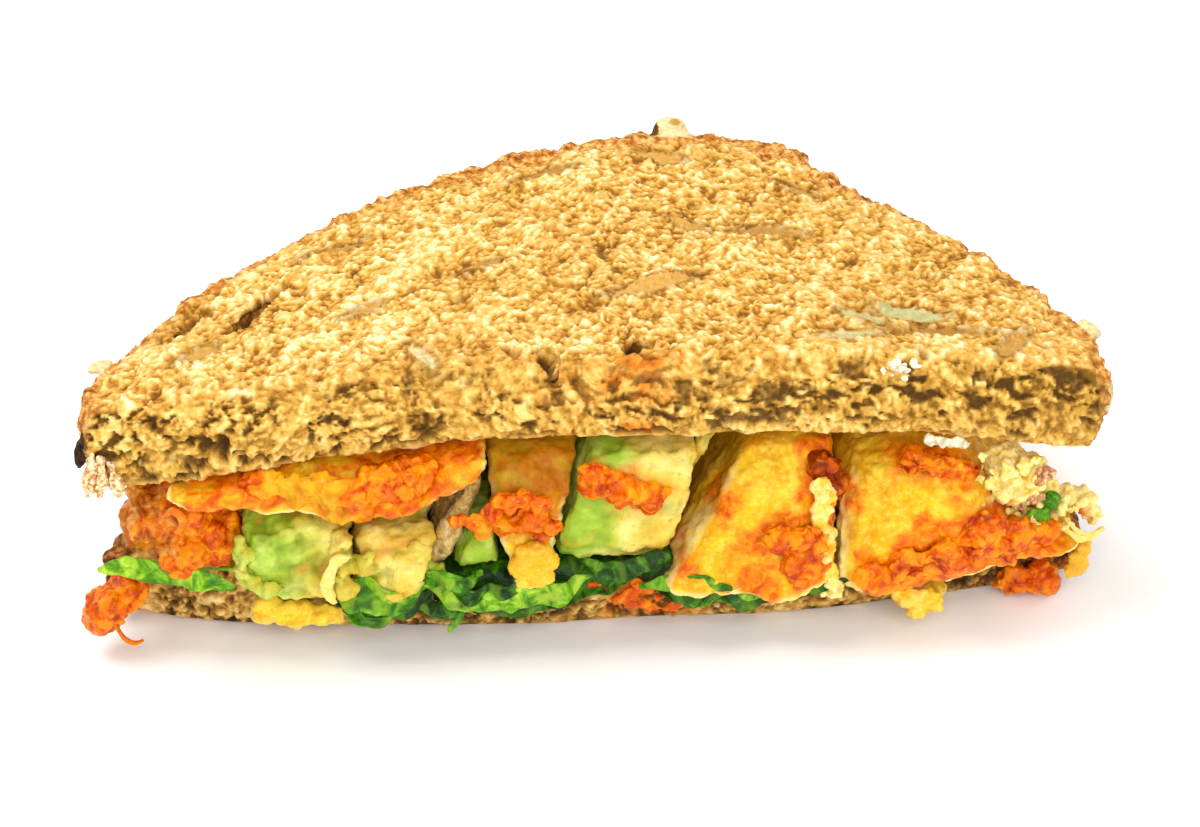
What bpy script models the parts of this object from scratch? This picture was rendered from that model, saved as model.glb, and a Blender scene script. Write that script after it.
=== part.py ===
# Half of a toasted seeded-bread sandwich, cut corner to corner and filled with omelette,
# avocado, spinach, mushroom and tomato relish. Metres, +Z up, the cut face towards -Y.
# Sizes below are in millimetres and become metres when a mesh is made.
import math
import random

import bmesh
import bpy
import numpy as np
from mathutils import Matrix, Vector, noise
from mathutils.bvhtree import BVHTree

MM = 0.001
GAP = 0.35  # air between pieces that lie against each other

# Bread: both slices share the crust line, in plan, from the left tip round the back to the right.
CRUST = [
    (-78.5, 0.0), (-80.0, 8.0), (-76.5, 16.5), (-64.0, 33.0), (-50.0, 47.0), (-33.0, 60.0),
    (-15.0, 70.0), (5.0, 75.5), (22.0, 76.5), (34.0, 72.0), (44.5, 57.5), (57.0, 45.5),
    (67.0, 31.0), (74.8, 16.0), (76.8, 7.0), (74.8, 0.0),
]
CRUST_STEPS = 3  # outline points for each span between two crust points
CUT_STEPS = 18  # outline points along the straight cut
MIDDLE = (0.0, 30.0)  # the rings of a slice shrink towards this point
HALF_CUT = 78.0  # half the length of the cut face
DEPTH = 76.5  # from the cut face to the back of the crust

BOTTOM_THICK = 11.5
TOP_THICK_TIPS = 12.2
TOP_THICK_MIDDLE = 10.6
UNDER_TIPS = 32.6  # height of the top slice's underside at the two tips
ARCH_RISE = 4.9  # how much higher that underside is in the middle of the cut
BACK_DROP = 6.0  # how much lower it is at the back crust
CUT_SLOPE = 7.0  # how far the torn upper edge of the top slice leans back in the middle of the cut
CUT_SLOPE_TIPS = 3.0  # and at its tips
CUT_CURVE = 6.5  # how far the bottom slice's tips stand back from the cut

LEAF_LEVEL = 13.2  # middle of the spinach layer
LEAF_THICK = 0.7
FLOOR_ON_LEAF = 14.9  # underside of what lies on the spinach
FLOOR_ON_BREAD = 12.3  # underside of what lies on the bread


def wobble(x, y, z, wavelength, seed=0.0):
    """Smooth noise from about -1 to 1 that changes over one wavelength."""
    return 1.6 * noise.noise(Vector((x / wavelength + seed, y / wavelength - seed, z / wavelength)))


def catmull_rom(points, steps):
    """A smooth line through the points, with the given number of steps in each span."""
    pts = [Vector(p) for p in points]
    pts = [2 * pts[0] - pts[1]] + pts + [2 * pts[-1] - pts[-2]]
    line = []
    for a, b, c, d in zip(pts, pts[1:], pts[2:], pts[3:]):
        for k in range(steps):
            t = k / steps
            line.append(0.5 * (2 * b + (c - a) * t + (2 * a - 5 * b + 4 * c - d) * t * t
                               + (3 * b - a - 3 * c + d) * t ** 3))
    return line + [pts[-2]]


def rounded(ring):
    """A closed ring with its corners cut, then eased again."""
    ring = [p for a, b in zip(ring, ring[1:] + ring[:1])
            for p in (a * 0.75 + b * 0.25, a * 0.25 + b * 0.75)]
    return [(a + b * 6 + c) / 8 for a, b, c in zip(ring[-1:] + ring[:-1], ring, ring[1:] + ring[:1])]


CRUST_LINE = catmull_rom(CRUST, CRUST_STEPS)


def crust_depth(x):
    """How far behind the cut the crust is at x."""
    line = sorted((p.x, p.y) for p in CRUST_LINE)
    return float(np.interp(x, [p[0] for p in line], [p[1] for p in line]))


def arch(x):
    """1 in the middle of the cut, falling to 0 at the tips."""
    return max(0.0, 1 - (x / HALF_CUT) ** 2)


def under_top(x, y):
    """Height of the top slice's underside."""
    return UNDER_TIPS + ARCH_RISE * arch(x) - BACK_DROP * max(y, 0.0) / DEPTH


def top_thickness(x, y):
    near_cut = max(0.0, 1 - y / 30)
    return TOP_THICK_TIPS + (TOP_THICK_MIDDLE - TOP_THICK_TIPS) * arch(x) * near_cut


def top_surface(x, y):
    """Height of the top slice's toasted face."""
    return under_top(x, y) + top_thickness(x, y)


def material(name, colour, roughness):
    made = bpy.data.materials.get(name)
    if made is None:
        made = bpy.data.materials.new(name)
        made.use_nodes = True
        shader = made.node_tree.nodes["Principled BSDF"]
        shader.inputs["Base Color"].default_value = (*colour, 1)
        shader.inputs["Roughness"].default_value = roughness
        shader.inputs["Metallic"].default_value = 0
    return made


def toast():
    return material("toasted_bread", (0.62, 0.36, 0.12), 0.85)


def omelette():
    return material("omelette", (0.80, 0.48, 0.07), 0.5)


def avocado():
    return material("avocado", (0.58, 0.66, 0.16), 0.45)


def spinach():
    return material("spinach", (0.05, 0.22, 0.03), 0.4)


def relish():
    return material("relish", (0.75, 0.16, 0.02), 0.3)


def mushroom():
    return material("mushroom", (0.36, 0.27, 0.16), 0.55)


def new_object(name, points, faces, finish):
    """One mesh object from points in millimetres, with its faces turned outwards."""
    mesh = bpy.data.meshes.new(name)
    mesh.from_pydata([Vector(p) * MM for p in points], [], faces)
    bm = bmesh.new()
    bm.from_mesh(mesh)
    bmesh.ops.triangulate(bm, faces=bm.faces, ngon_method="EAR_CLIP")
    bmesh.ops.recalc_face_normals(bm, faces=bm.faces)
    bm.to_mesh(mesh)
    bm.free()
    mesh.shade_smooth()
    mesh.materials.append(finish)
    made = bpy.data.objects.new(name, mesh)
    bpy.context.scene.collection.objects.link(made)
    return made


def skin(name, rings, finish):
    """A closed solid through rings with equal numbers of points, with a face over each end."""
    count = len(rings[0])
    points = [p for ring in rings for p in ring]
    faces = []
    for r in range(len(rings) - 1):
        for k in range(count):
            n = (k + 1) % count
            faces.append((r * count + k, r * count + n, (r + 1) * count + n, (r + 1) * count + k))
    last = (len(rings) - 1) * count
    faces += [tuple(range(count)), tuple(range(last, last + count))]
    return new_object(name, points, faces, finish)


def apply_modifiers(target):
    graph = bpy.context.evaluated_depsgraph_get()
    mesh = bpy.data.meshes.new_from_object(target.evaluated_get(graph))
    target.modifiers.clear()
    target.data = mesh


def remove(objects):
    for thing in list(objects):
        bpy.data.objects.remove(thing)


def unite(target, others, solver="MANIFOLD"):
    """Fuses the others into the target with one Boolean union, then removes them."""
    group = bpy.data.collections.new("joined_to_" + target.name)
    bpy.context.scene.collection.children.link(group)
    for thing in others:
        bpy.context.scene.collection.objects.unlink(thing)
        group.objects.link(thing)
    join = target.modifiers.new("fuse", "BOOLEAN")
    join.operation = "UNION"
    join.operand_type = "COLLECTION"
    join.collection = group
    join.solver = solver
    apply_modifiers(target)
    remove(group.objects)
    bpy.data.collections.remove(group)
    keep_largest(target)


def keep_largest(target):
    """Drops loose scraps and merges points that a Boolean left almost together."""
    bm = bmesh.new()
    bm.from_mesh(target.data)
    bmesh.ops.remove_doubles(bm, verts=bm.verts, dist=0.002 * MM)
    left, islands = set(bm.verts), []
    while left:
        island, todo = set(), [left.pop()]
        while todo:
            v = todo.pop()
            island.add(v)
            near = {e.other_vert(v) for e in v.link_edges} & left
            left -= near
            todo += near
        islands.append(island)
    islands.sort(key=len)
    for island in islands[:-1]:
        bmesh.ops.delete(bm, geom=list(island), context="VERTS")
    bmesh.ops.triangulate(bm, faces=bm.faces)
    bm.to_mesh(target.data)
    bm.free()


def carve(target, neighbours):
    """Cuts the target back so that it lies against its neighbours with a gap of air."""
    for near in neighbours:
        cutter = near.copy()
        cutter.data = near.data.copy()
        bpy.context.scene.collection.objects.link(cutter)
        swell = cutter.modifiers.new("gap", "DISPLACE")
        swell.strength = GAP * MM
        swell.mid_level = 0
        cut = target.modifiers.new("cut", "BOOLEAN")
        cut.operation = "DIFFERENCE"
        cut.object = cutter
        cut.solver = "EXACT"
        cut.use_self = True
        apply_modifiers(target)
        remove([cutter])
    keep_largest(target)


# Bread

def slice_outline(cut_line, scale, crag, seed):
    """The edge of a slice in plan: the crust, then back along the cut, with a ragged line."""
    line = [Vector((p.x * scale, max(p.y * scale, cut_line(p.x)))) for p in CRUST_LINE]
    right, left = line[-1].x, line[0].x
    for k in range(1, CUT_STEPS):
        x = right + (left - right) * k / CUT_STEPS
        line.append(Vector((x, cut_line(x))))
    ragged = []
    for before, here, after in zip(line[-1:] + line[:-1], line, line[1:] + line[:1]):
        way = (after - before).normalized()
        out = Vector((-way.y, way.x))
        ragged.append(here + out * crag * wobble(here.x, here.y, 0, 5.0, seed))
    return ragged


def bread_slice(name, cut_line, bottom, top, lean, scale, crag, seed, rings):
    """A slice from rings of (share of the outline, share of the height). lean moves the upper
    edge of the cut face back."""
    outline = slice_outline(cut_line, scale, crag, seed)
    made = []
    for share, height in rings:
        ring = []
        for p in outline:
            x = MIDDLE[0] + (p.x - MIDDLE[0]) * share
            y = MIDDLE[1] + (p.y - MIDDLE[1]) * share
            y += lean(x) * max(0.0, height - 0.2) ** 1.6 / 0.7 * max(0.0, 1 - (y - cut_line(x)) / 26) ** 2
            low, high = bottom(x, y), top(x, y)
            z = low + (high - low) * height
            if 0 < height < 1:
                y += 0.35 * wobble(x, y, z, 4.0, seed + 3)
            z += 0.35 * height * wobble(x, y, z, 7.0, seed)
            ring.append(Vector((x, y, z)))
        made.append(ring)
    return skin(name, made, toast())


TOP_RINGS = [(0.25, 0), (0.93, 0), (0.985, 0.06), (1.0, 0.3), (1.004, 0.55), (1.0, 0.8),
             (0.985, 0.97), (0.95, 1), (0.8, 1), (0.6, 1), (0.38, 1), (0.16, 1)]
BOTTOM_RINGS = [(0.3, 0), (0.64, 0), (0.965, 0), (0.995, 0.12), (1.004, 0.5), (0.995, 0.88), (0.97, 1),
                (0.85, 1), (0.6, 1), (0.25, 1)]


def top_cut(x):
    return 0.35 * wobble(x, 0, 0, 16.0, 4.0)


def bottom_cut(x):
    return 1.0 + CUT_CURVE * abs(x / HALF_CUT) ** 2.5


def cut_lean(x):
    return CUT_SLOPE_TIPS + (CUT_SLOPE - CUT_SLOPE_TIPS) * arch(x)


def tip_lift(x):
    """The bottom slice curls up a little towards its tips."""
    return 1.6 * max(0.0, (abs(x) - 52) / 26) ** 2


# Seeds and flakes in the toasted face: x, y, length, width, turn in degrees.
SEEDS = [
    (49.5, 22.5, 9.5, 3.4, -14), (42.0, 20.5, 6.5, 2.6, -28), (40.0, 15.5, 7.5, 2.2, 4),
    (55.0, 17.5, 11.0, 1.8, -3), (66.0, 14.5, 7.0, 2.6, 52), (8.5, 28.0, 12.0, 2.4, 22),
    (9.5, 65.5, 7.0, 3.2, -24), (-28.5, 9.0, 6.5, 2.6, -62), (-65.0, 12.0, 7.0, 2.4, 40),
    (-9.0, 60.5, 8.5, 2.0, 16), (27.0, 44.0, 9.0, 1.8, -6), (-43.0, 40.0, 8.0, 1.8, 24),
    (14.0, 46.0, 6.0, 2.2, -30), (-19.0, 34.0, 5.5, 1.8, 30), (31.0, 57.0, 6.5, 1.8, -38),
    (-38.0, 22.0, 6.0, 2.0, 35),
]
SEED_THICK = 1.9
# Long pits in the toasted face: x, y, length, width, turn, depth.
PITS = [(-54.5, 25.5, 15.0, 2.6, 52, 2.6), (-65.5, 22.0, 10.0, 2.0, 46, 1.8),
        (-8.5, 8.5, 6.0, 2.6, -68, 3.0), (6.0, 10.5, 5.0, 2.4, 20, 2.4)]
# Oat flakes, a kernel and a charred seed on the crust: x, y, z, length, width, thickness, turn, tilt.
CRUST_BITS = [
    (15.5, 77.2, 43.0, 7.0, 5.4, 5.0, 0, 0), (58.5, 46.0, 43.0, 7.5, 3.2, 1.4, -38, -12),
    (-77.5, 17.5, 42.5, 6.0, 3.2, 1.4, 48, 8), (-80.3, 4.5, 36.5, 2.6, 2.2, 5.0, 0, 12),
    (75.6, 15.5, 43.5, 5.5, 2.6, 1.4, -55, 10), (76.8, 6.0, 38.5, 2.0, 5.0, 6.0, 10, 0),
    (-78.0, 0.9, 35.0, 3.4, 2.4, 6.5, 0, 20), (68.5, 29.5, 43.0, 5.0, 2.4, 1.3, -55, 0),
]


def grain(x, y, z, length, width, thick, turn, tilt, finish):
    """One seed or flake: a flattened ball with few sides."""
    mesh = bpy.data.meshes.new("grain")
    bm = bmesh.new()
    bmesh.ops.create_uvsphere(bm, u_segments=7, v_segments=4, radius=0.5)
    shape = (Matrix.Translation((x * MM, y * MM, z * MM)) @ Matrix.Rotation(math.radians(turn), 4, "Z")
             @ Matrix.Rotation(math.radians(tilt), 4, "Y")
             @ Matrix.Diagonal((length * MM, width * MM, thick * MM, 1)))
    bm.transform(shape)
    bm.to_mesh(mesh)
    bm.free()
    mesh.materials.append(finish)
    made = bpy.data.objects.new("grain", mesh)
    bpy.context.scene.collection.objects.link(made)
    return made


def top_slice():
    bread = bread_slice("top_slice", top_cut, under_top, top_surface, cut_lean,
                        1.0, 0.55, 1.0, TOP_RINGS)
    pits = [grain(x, y, top_surface(x, y) + 0.3, length, width, 2 * depth, turn, 0, toast())
            for x, y, length, width, turn, depth in PITS]
    for pit in pits:
        cut = bread.modifiers.new("pit", "BOOLEAN")
        cut.operation = "DIFFERENCE"
        cut.object = pit
        cut.solver = "MANIFOLD"
    apply_modifiers(bread)
    remove(pits)
    seeds = [grain(x, y, top_surface(x, y) + 0.1, length, width, SEED_THICK, turn, 0, toast())
             for x, y, length, width, turn in SEEDS]
    seeds += [grain(*bit, toast()) for bit in CRUST_BITS]
    unite(bread, seeds)
    return bread


def bottom_slice():
    return bread_slice("bottom_slice", bottom_cut, lambda x, y: tip_lift(x),
                       lambda x, y: BOTTOM_THICK + tip_lift(x) * 0.6, lambda x: 0.0,
                       0.985, 0.5, 9.0, BOTTOM_RINGS)


# Fillings

def warp(p):
    """Moves a point of a filling with its neighbours, so that no side or front is flat."""
    x = p.x + 0.85 * wobble(p.x, p.z * 1.2, 0.25 * p.y, 15.0, 60.0)
    y = p.y + 0.9 * wobble(p.x * 1.2, p.z * 1.2, 0.25 * p.y, 12.0, 70.0)
    return Vector((x, y, p.z))


def span_stations(edge):
    """Shares of a chunk's width, closer together where its sides round over, each with how much
    of the edge radius its ring shrinks by."""
    near = edge / 3
    third = (1 - edge * 2) / 3
    return [(0.0, 1.0), (near, 0.35), (edge, 0.0), (edge + third, 0.0), (1 - edge - third, 0.0),
            (1 - edge, 0.0), (1 - near, 0.35), (1.0, 1.0)]


def chunk(name, finish, left, right, face, floor, back, top, lip=None, radius=1.6, rough=0.45,
          seed=0.0, edge=0.12):
    """A filling that runs from the cut face to near the back crust. left and right are (x, lean)
    of its sides at height 14. face lists (y, z) up its front, floor is its underside, back is how
    far it stays from the crust and top lowers it under the top slice. lip lists (x, z) for the
    lower end of a front that hangs over the bottom slice."""
    rings = []
    for share, shrink in span_stations(edge):
        x_mid = left[0] + (right[0] - left[0]) * share + (left[1] + right[1]) / 2 * 8
        y_back = crust_depth(x_mid) - back - 1.5 * wobble(x_mid, 0, 0, 14.0, seed)
        keys = [Vector(k) for k in front_keys(x_mid, face, floor, lip, seed)]
        y_top = keys[-1].x
        middle = (y_top + y_back) / 2
        keys += [Vector((y, under_top(x_mid, y) - top)) for y in (middle, y_back - 1)]
        keys += [Vector((y_back, floor + 3)), Vector((y_back - 2, floor)), Vector((middle, floor))]
        ring2d = rounded(keys)
        hub = sum(ring2d, Vector((0, 0))) / len(ring2d)
        ring = []
        for p in ring2d:
            inward = (hub - p).normalized() * radius * shrink
            y, z = p.x + inward.x, p.y + inward.y
            lean = left[1] + (right[1] - left[1]) * share
            x = left[0] + (right[0] - left[0]) * share + lean * (z - 14)
            y += rough * (wobble(x, y, z, 6.0, seed) + 0.8 * wobble(x, y, z, 10.0, seed + 40)) * (1 - 0.5 * shrink)
            x += 0.5 * rough * wobble(x, y, z, 7.0, 5.0) * (0.5 - share) * shrink
            ring.append(warp(Vector((x, y, z))))
        rings.append(ring)
    return skin(name, rings, finish)


def front_keys(x, face, floor, lip, seed):
    """The front of a chunk's section, from its underside up to its upper front edge."""
    shift = 0.5 * wobble(x, 0, 0, 9.0, seed)
    if lip is None:
        first = face[0][0]
        return [(max(6.0, first + 4), floor), (first + 1.0, floor)] + [(y + shift, z) for y, z in face]
    z_lip = float(np.interp(x, [p[0] for p in lip], [p[1] for p in lip]))
    y_lip = face[0][0]
    elbow = [(7.0, floor), (1.4, floor + 0.4), (-1.6, min(14.2, floor + 0.9)), (y_lip + 2.0, z_lip + 2.2)]
    end = [(y_lip + 1.1, z_lip), (y_lip - 0.2, z_lip + 0.2)]
    above = [(y + shift, max(z, z_lip + 2.6)) for y, z in face]
    return elbow + end + above


def fillings():
    """The chunks from left to right. Neighbours share the line of their sides, a gap apart."""
    made = {}
    made["avocado_left"] = chunk(
        "avocado_left", avocado(), (-57.0, 0.0), (-41.4, 0.1),
        [(-3.4, 15.5), (-3.6, 20.0), (-1.0, 25.3)], FLOOR_ON_BREAD, 8, 9.5,
        lip=[(-57, 12.4), (-50, 10.6), (-41, 11.4)], seed=2.0, rough=0.8, radius=2.2, edge=0.2)
    made["avocado_pale"] = chunk(
        "avocado_pale", avocado(), (-40.7, 0.1), (-29.8, 0.34),
        [(-5.2, 14.5), (-5.0, 18.5), (-2.6, 23.4)], FLOOR_ON_LEAF, 9, 11.5,
        lip=[(-40, 13.0), (-36, 11.0), (-31, 11.5), (-28, 13.5)], seed=3.0, rough=0.8, radius=2.0, edge=0.2)
    made["mushroom"] = chunk(
        "mushroom", mushroom(), (-29.0, 0.40), (-25.0, 0.30),
        [(-1.2, 15.5), (-0.6, 20.0), (0.6, 25.5), (1.4, 30.2)], FLOOR_ON_LEAF, 8, 5.5,
        seed=4.0, rough=0.8, radius=0.9)
    made["avocado_low"] = chunk(
        "avocado_low", avocado(), (-23.9, 0.3), (-16.4, -0.2),
        [(-1.6, 15.4), (-2.2, 18.0), (-1.0, 21.6)], FLOOR_ON_LEAF, 12, 14.0, seed=5.0)
    made["omelette_mid"] = chunk(
        "omelette_mid", omelette(), (-15.2, -0.2), (-9.9, 0.28),
        [(-4.6, 16.0), (-3.0, 22.0), (0.2, 29.0), (3.0, 34.6)], FLOOR_ON_LEAF, 7, 1.6,
        lip=[(-16, 13.4), (-12, 12.4), (-8, 13.6)], seed=6.0)
    made["avocado_centre"] = chunk(
        "avocado_centre", avocado(), (-9.0, 0.28), (8.2, 0.28),
        [(-1.4, 16.0), (-1.9, 21.0), (-1.2, 30.0), (0.6, 35.6)], FLOOR_ON_LEAF, 7, 1.2,
        seed=7.0, rough=0.35, radius=1.3)
    made["avocado_back"] = chunk(
        "avocado_back", avocado(), (9.0, 0.28), (7.9, 0.52),
        [(8.5, 24.5), (7.0, 28.0), (6.0, 33.5)], 22.0, 10, 1.4, seed=8.0, radius=0.4, rough=0.0, edge=0.3)
    made["omelette_centre"] = chunk(
        "omelette_centre", omelette(), (8.8, 0.52), (35.2, 0.0),
        [(-5.2, 13.5), (-3.4, 20.0), (0.6, 28.0), (4.6, 33.4)], FLOOR_ON_LEAF, 8, 1.6,
        lip=[(9, 12.6), (17, 10.8), (25, 8.0), (30, 8.8), (36, 10.8)], seed=9.0, edge=0.08)
    made["omelette_right"] = omelette_right()
    return made


def omelette_right():
    """The widest piece: it leans out over the bread and gets lower towards the right tip."""
    crest = [(36, 26.0), (39, 29.0), (45, 31.0), (55, 30.5), (61, 23.5), (69, 18.4), (75, 16.2)]
    lip = [(36, 9.2), (43, 6.8), (50, 9.6), (61, 11.4), (71, 13.6), (75, 15.0)]
    rings = []
    left, right = 36.0, 73.5
    shares = [0, 0.03, 0.08, 0.2, 0.33, 0.46, 0.58, 0.7, 0.82, 0.92, 0.97, 1]
    for share in shares:
        x = left + (right - left) * share
        z_top = float(np.interp(x, [p[0] for p in crest], [p[1] for p in crest]))
        floor = FLOOR_ON_BREAD + tip_lift(x) * 0.6 + 0.3
        z_lip = min(float(np.interp(x, [p[0] for p in lip], [p[1] for p in lip])), floor - 1.4)
        recess = 3.2 * max(0.0, (x - 50) / 25) ** 2
        y_back = max(crust_depth(x) - 7 - 1.5 * wobble(x, 0, 0, 14.0, 11.0), 13.5)
        high = max(z_top - 2.5, floor + 3)
        keys = [(5.5 + recess, floor), (2.2 + recess, floor), (-0.6 + recess, floor - 0.4),
                (-1.6 + recess, min(z_lip + 1.6, floor - 0.6)), (-2.4 + recess, z_lip - 0.2), (-4.2 + recess, z_lip + 0.2),
                (-5.4 + recess, z_lip + 3.0), (-3.8 + recess, (z_lip + z_top) / 2),
                (0.4 + recess, z_top - 2.2), (3.6 + recess, z_top),
                (max((y_back + 3) / 2 + recess, 8.5), z_top), (y_back, high), (y_back + 0.4, floor + 2),
                (y_back - 2, floor)]
        ring2d = rounded([Vector(k) for k in keys])
        hub = sum(ring2d, Vector((0, 0))) / len(ring2d)
        end = min(share, 1 - share)
        shrink = 1.8 * max(0.0, 1 - end / 0.08) ** 2
        ring = []
        for p in ring2d:
            inward = (hub - p).normalized() * min(shrink, 0.3 * (hub - p).length)
            y, z = p.x + inward.x, p.y + inward.y
            ring.append(warp(Vector((x, y + 0.3 * wobble(x, y, z, 6.0, 11.0), z))))
        rings.append(ring)
    return skin("omelette_right", rings, omelette())


def omelette_left():
    """The folded sheet under the left half of the top slice, hanging over its lower edge."""
    left, right, lean = -67.5, -27.6, 0.4
    hem = [(-68, 30.4), (-63, 29.4), (-57, 28.8), (-52, 27.2), (-47, 27.8), (-41, 26.2), (-34, 24.6),
           (-30, 27.2), (-26, 30.0), (-20, 32.6)]
    rings = []
    for share in [0, 0.03, 0.09, 0.2, 0.32, 0.44, 0.56, 0.68, 0.8, 0.91, 0.97, 1]:
        x = left + (right - left + lean * 14) * share
        z_hem = float(np.interp(x, [p[0] for p in hem], [p[1] for p in hem]))
        y_back = crust_depth(x) - 8
        y_mid = (y_back + 4) / 2
        low = [max(z_hem, 27.0), under_top(x, y_mid) - 5.2, under_top(x, y_back) - 4.6]
        keys = [(y_mid, low[1]), (4.0, low[0] + 1.0), (0.6, low[0]), (-1.2, z_hem), (-2.8, z_hem + 0.4),
                (-3.2, z_hem + 2.2), (-0.6, (z_hem + under_top(x, 0)) / 2 + 0.6), (2.6, under_top(x, 2.6) - 1.3),
                (y_mid, under_top(x, y_mid) - 1.2), (y_back, under_top(x, y_back) - 1.3),
                (y_back, low[2])]
        ring2d = rounded([Vector(k) for k in keys])
        hub = sum(ring2d, Vector((0, 0))) / len(ring2d)
        end = min(share, 1 - share)
        shrink = 1.0 * max(0.0, 1 - end / 0.09) ** 2
        ring = []
        for p in ring2d:
            inward = (hub - p).normalized() * shrink
            y, z = p.x + inward.x, p.y + inward.y
            x_here = left + (right + lean * (z - 14) - left) * share
            ring.append(warp(Vector((x_here, y + 0.7 * wobble(x_here, y, z, 6.0, 12.0), z))))
        rings.append(ring)
    return skin("omelette_left", rings, omelette())


def leaf(name, x_from, x_to, reach, seed, wave=0.25, length=20.0, front=0.0):
    """A thin wavy leaf with a rounded back edge, length behind the bread's edge. Its front edge
    goes from lying on the bread, reach 0, to hanging, reach 1."""
    across = 9
    top, under = [], []
    for k in range(across + 1):
        u = k / across
        x = x_from + (x_to - x_from) * u
        share = reach * (1 - 0.3 * abs(2 * u - 1) ** 2.5) + 0.08 * wobble(x, 0, 0, 6.0, seed)
        line = [Vector(f).lerp(Vector(h), share) for f, h in zip(FLAT, HANG)]
        reach_back = length / 20 * (0.3 + 0.7 * math.sin(math.pi * min(max(u, 0.04), 0.96)))
        line = [(p.x + front if p.x < 4 else 4 + front + (p.x - 4) * reach_back, p.y) for p in line]
        line = [Vector(p) for p in line]
        for j, p in enumerate(line):
            y, z = p.x, p.y
            ahead = line[min(j + 1, len(line) - 1)] - line[max(j - 1, 0)]
            out = Vector((ahead.y, -ahead.x)).normalized() * -1
            swing = wave * wobble(x, y, z, 5.5, seed)
            y, z = y + out.x * swing, z + out.y * swing
            half = out * LEAF_THICK / 2
            top.append((x, y + half.x, z + half.y))
            under.append((x, y - half.x, z - half.y))
    rows, columns = across + 1, len(line)
    points = top + under
    faces, shift = [], rows * columns
    for r in range(rows - 1):
        for c in range(columns - 1):
            a, b = r * columns + c, r * columns + c + 1
            d, e = (r + 1) * columns + c, (r + 1) * columns + c + 1
            for tri in ((a, b, e), (a, e, d)):
                faces += [tri, tuple(i + shift for i in reversed(tri))]
    rim = ([r * columns for r in range(rows)] + [(rows - 1) * columns + c for c in range(1, columns)]
           + [r * columns + columns - 1 for r in range(rows - 2, -1, -1)]
           + [c for c in range(columns - 2, 0, -1)])
    for a, b in zip(rim, rim[1:] + rim[:1]):
        faces += [(a, b, b + shift), (a, b + shift, a + shift)]
    return new_object(name, points, faces, spinach())


HANG = [(-3.8, 4.6), (-3.0, 7.6), (-2.1, 10.6), (-0.9, 12.6), (1.4, 13.5), (4.5, 13.4), (10.0, LEAF_LEVEL),
        (18.0, LEAF_LEVEL), (26.0, LEAF_LEVEL)]
FLAT = [(2.0, 13.5), (2.5, 13.5), (3.0, 13.5), (3.5, 13.5), (4.2, 13.5), (6.5, 13.4), (11.0, LEAF_LEVEL),
        (17.0, LEAF_LEVEL), (24.0, LEAF_LEVEL)]


def leaves():
    return [
        leaf("spinach_left", -39.6, -28.6, 0.85, 1.0),
        leaf("spinach_mid", -28.0, 4.2, 0.95, 2.0),
        leaf("spinach_right", 4.9, 34.4, 1.0, 3.0),
        leaf("leaf_left", -77.0, -58.4, 0.0, 4.0, wave=0.3, length=12.0, front=2.6),
    ]


def lump(place, size, seed, detail=1):
    """One rounded lump with uneven sides."""
    mesh = bpy.data.meshes.new("lump")
    bm = bmesh.new()
    bmesh.ops.create_icosphere(bm, subdivisions=detail, radius=0.5)
    for v in bm.verts:
        n = v.co.normalized()
        v.co *= 1 + 0.2 * wobble(n.x, n.y, n.z, 0.9, seed)
        v.co = Vector([(p + c * s) * MM for p, c, s in zip(place, v.co, size)])
    bm.to_mesh(mesh)
    bm.free()
    made = bpy.data.objects.new("lump", mesh)
    bpy.context.scene.collection.objects.link(made)
    return made


def front_of(things, x, z, otherwise=0.0):
    """The y of the first face that the things show to someone in front of the cut."""
    found = []
    for thing in things:
        tree = BVHTree.FromObject(thing, bpy.context.evaluated_depsgraph_get())
        hit = tree.ray_cast(Vector((x, -60, z)) * MM, Vector((0, 1, 0)))[0]
        if hit is not None:
            found.append(hit.y / MM)
    return min(found) if found else otherwise


def heap(name, finish, lumps, neighbours, seed, detail=1):
    """Lumps of (centre, size), fused into one body and cut back from what they lie on."""
    solids = [lump(at, size, seed + 1.7 * k, detail) for k, (at, size) in enumerate(lumps)]
    first = solids[0]
    first.name = name
    first.data.name = name
    if len(solids) > 1:
        unite(first, solids[1:], "EXACT")
    first.data.materials.clear()
    first.data.materials.append(finish)
    carve(first, neighbours)
    first.data.shade_smooth()
    return first


def smear(name, finish, spots, behind, neighbours, seed, out=0.14, beads=0.5, forward=0.0):
    """A heap along the front of what is behind it. Spots are (x, z, width, height, depth), and a
    share of them carries a small bead. forward brings the heap nearer to someone in front."""
    rng = random.Random(seed)
    lumps = []
    for x, z, width, height, depth in spots:
        y = front_of(behind, x, z) - out * depth - forward
        lumps.append(((x, y, z), (width, depth, height)))
        if rng.random() < beads:
            angle = rng.uniform(0, 2 * math.pi)
            size = rng.uniform(2.2, 3.0)
            at = (x + 0.3 * width * math.cos(angle), y - 0.3 * depth, z + 0.3 * height * math.sin(angle))
            lumps.append((at, (size, size, size)))
    return heap(name, finish, lumps, neighbours, seed)


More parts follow.
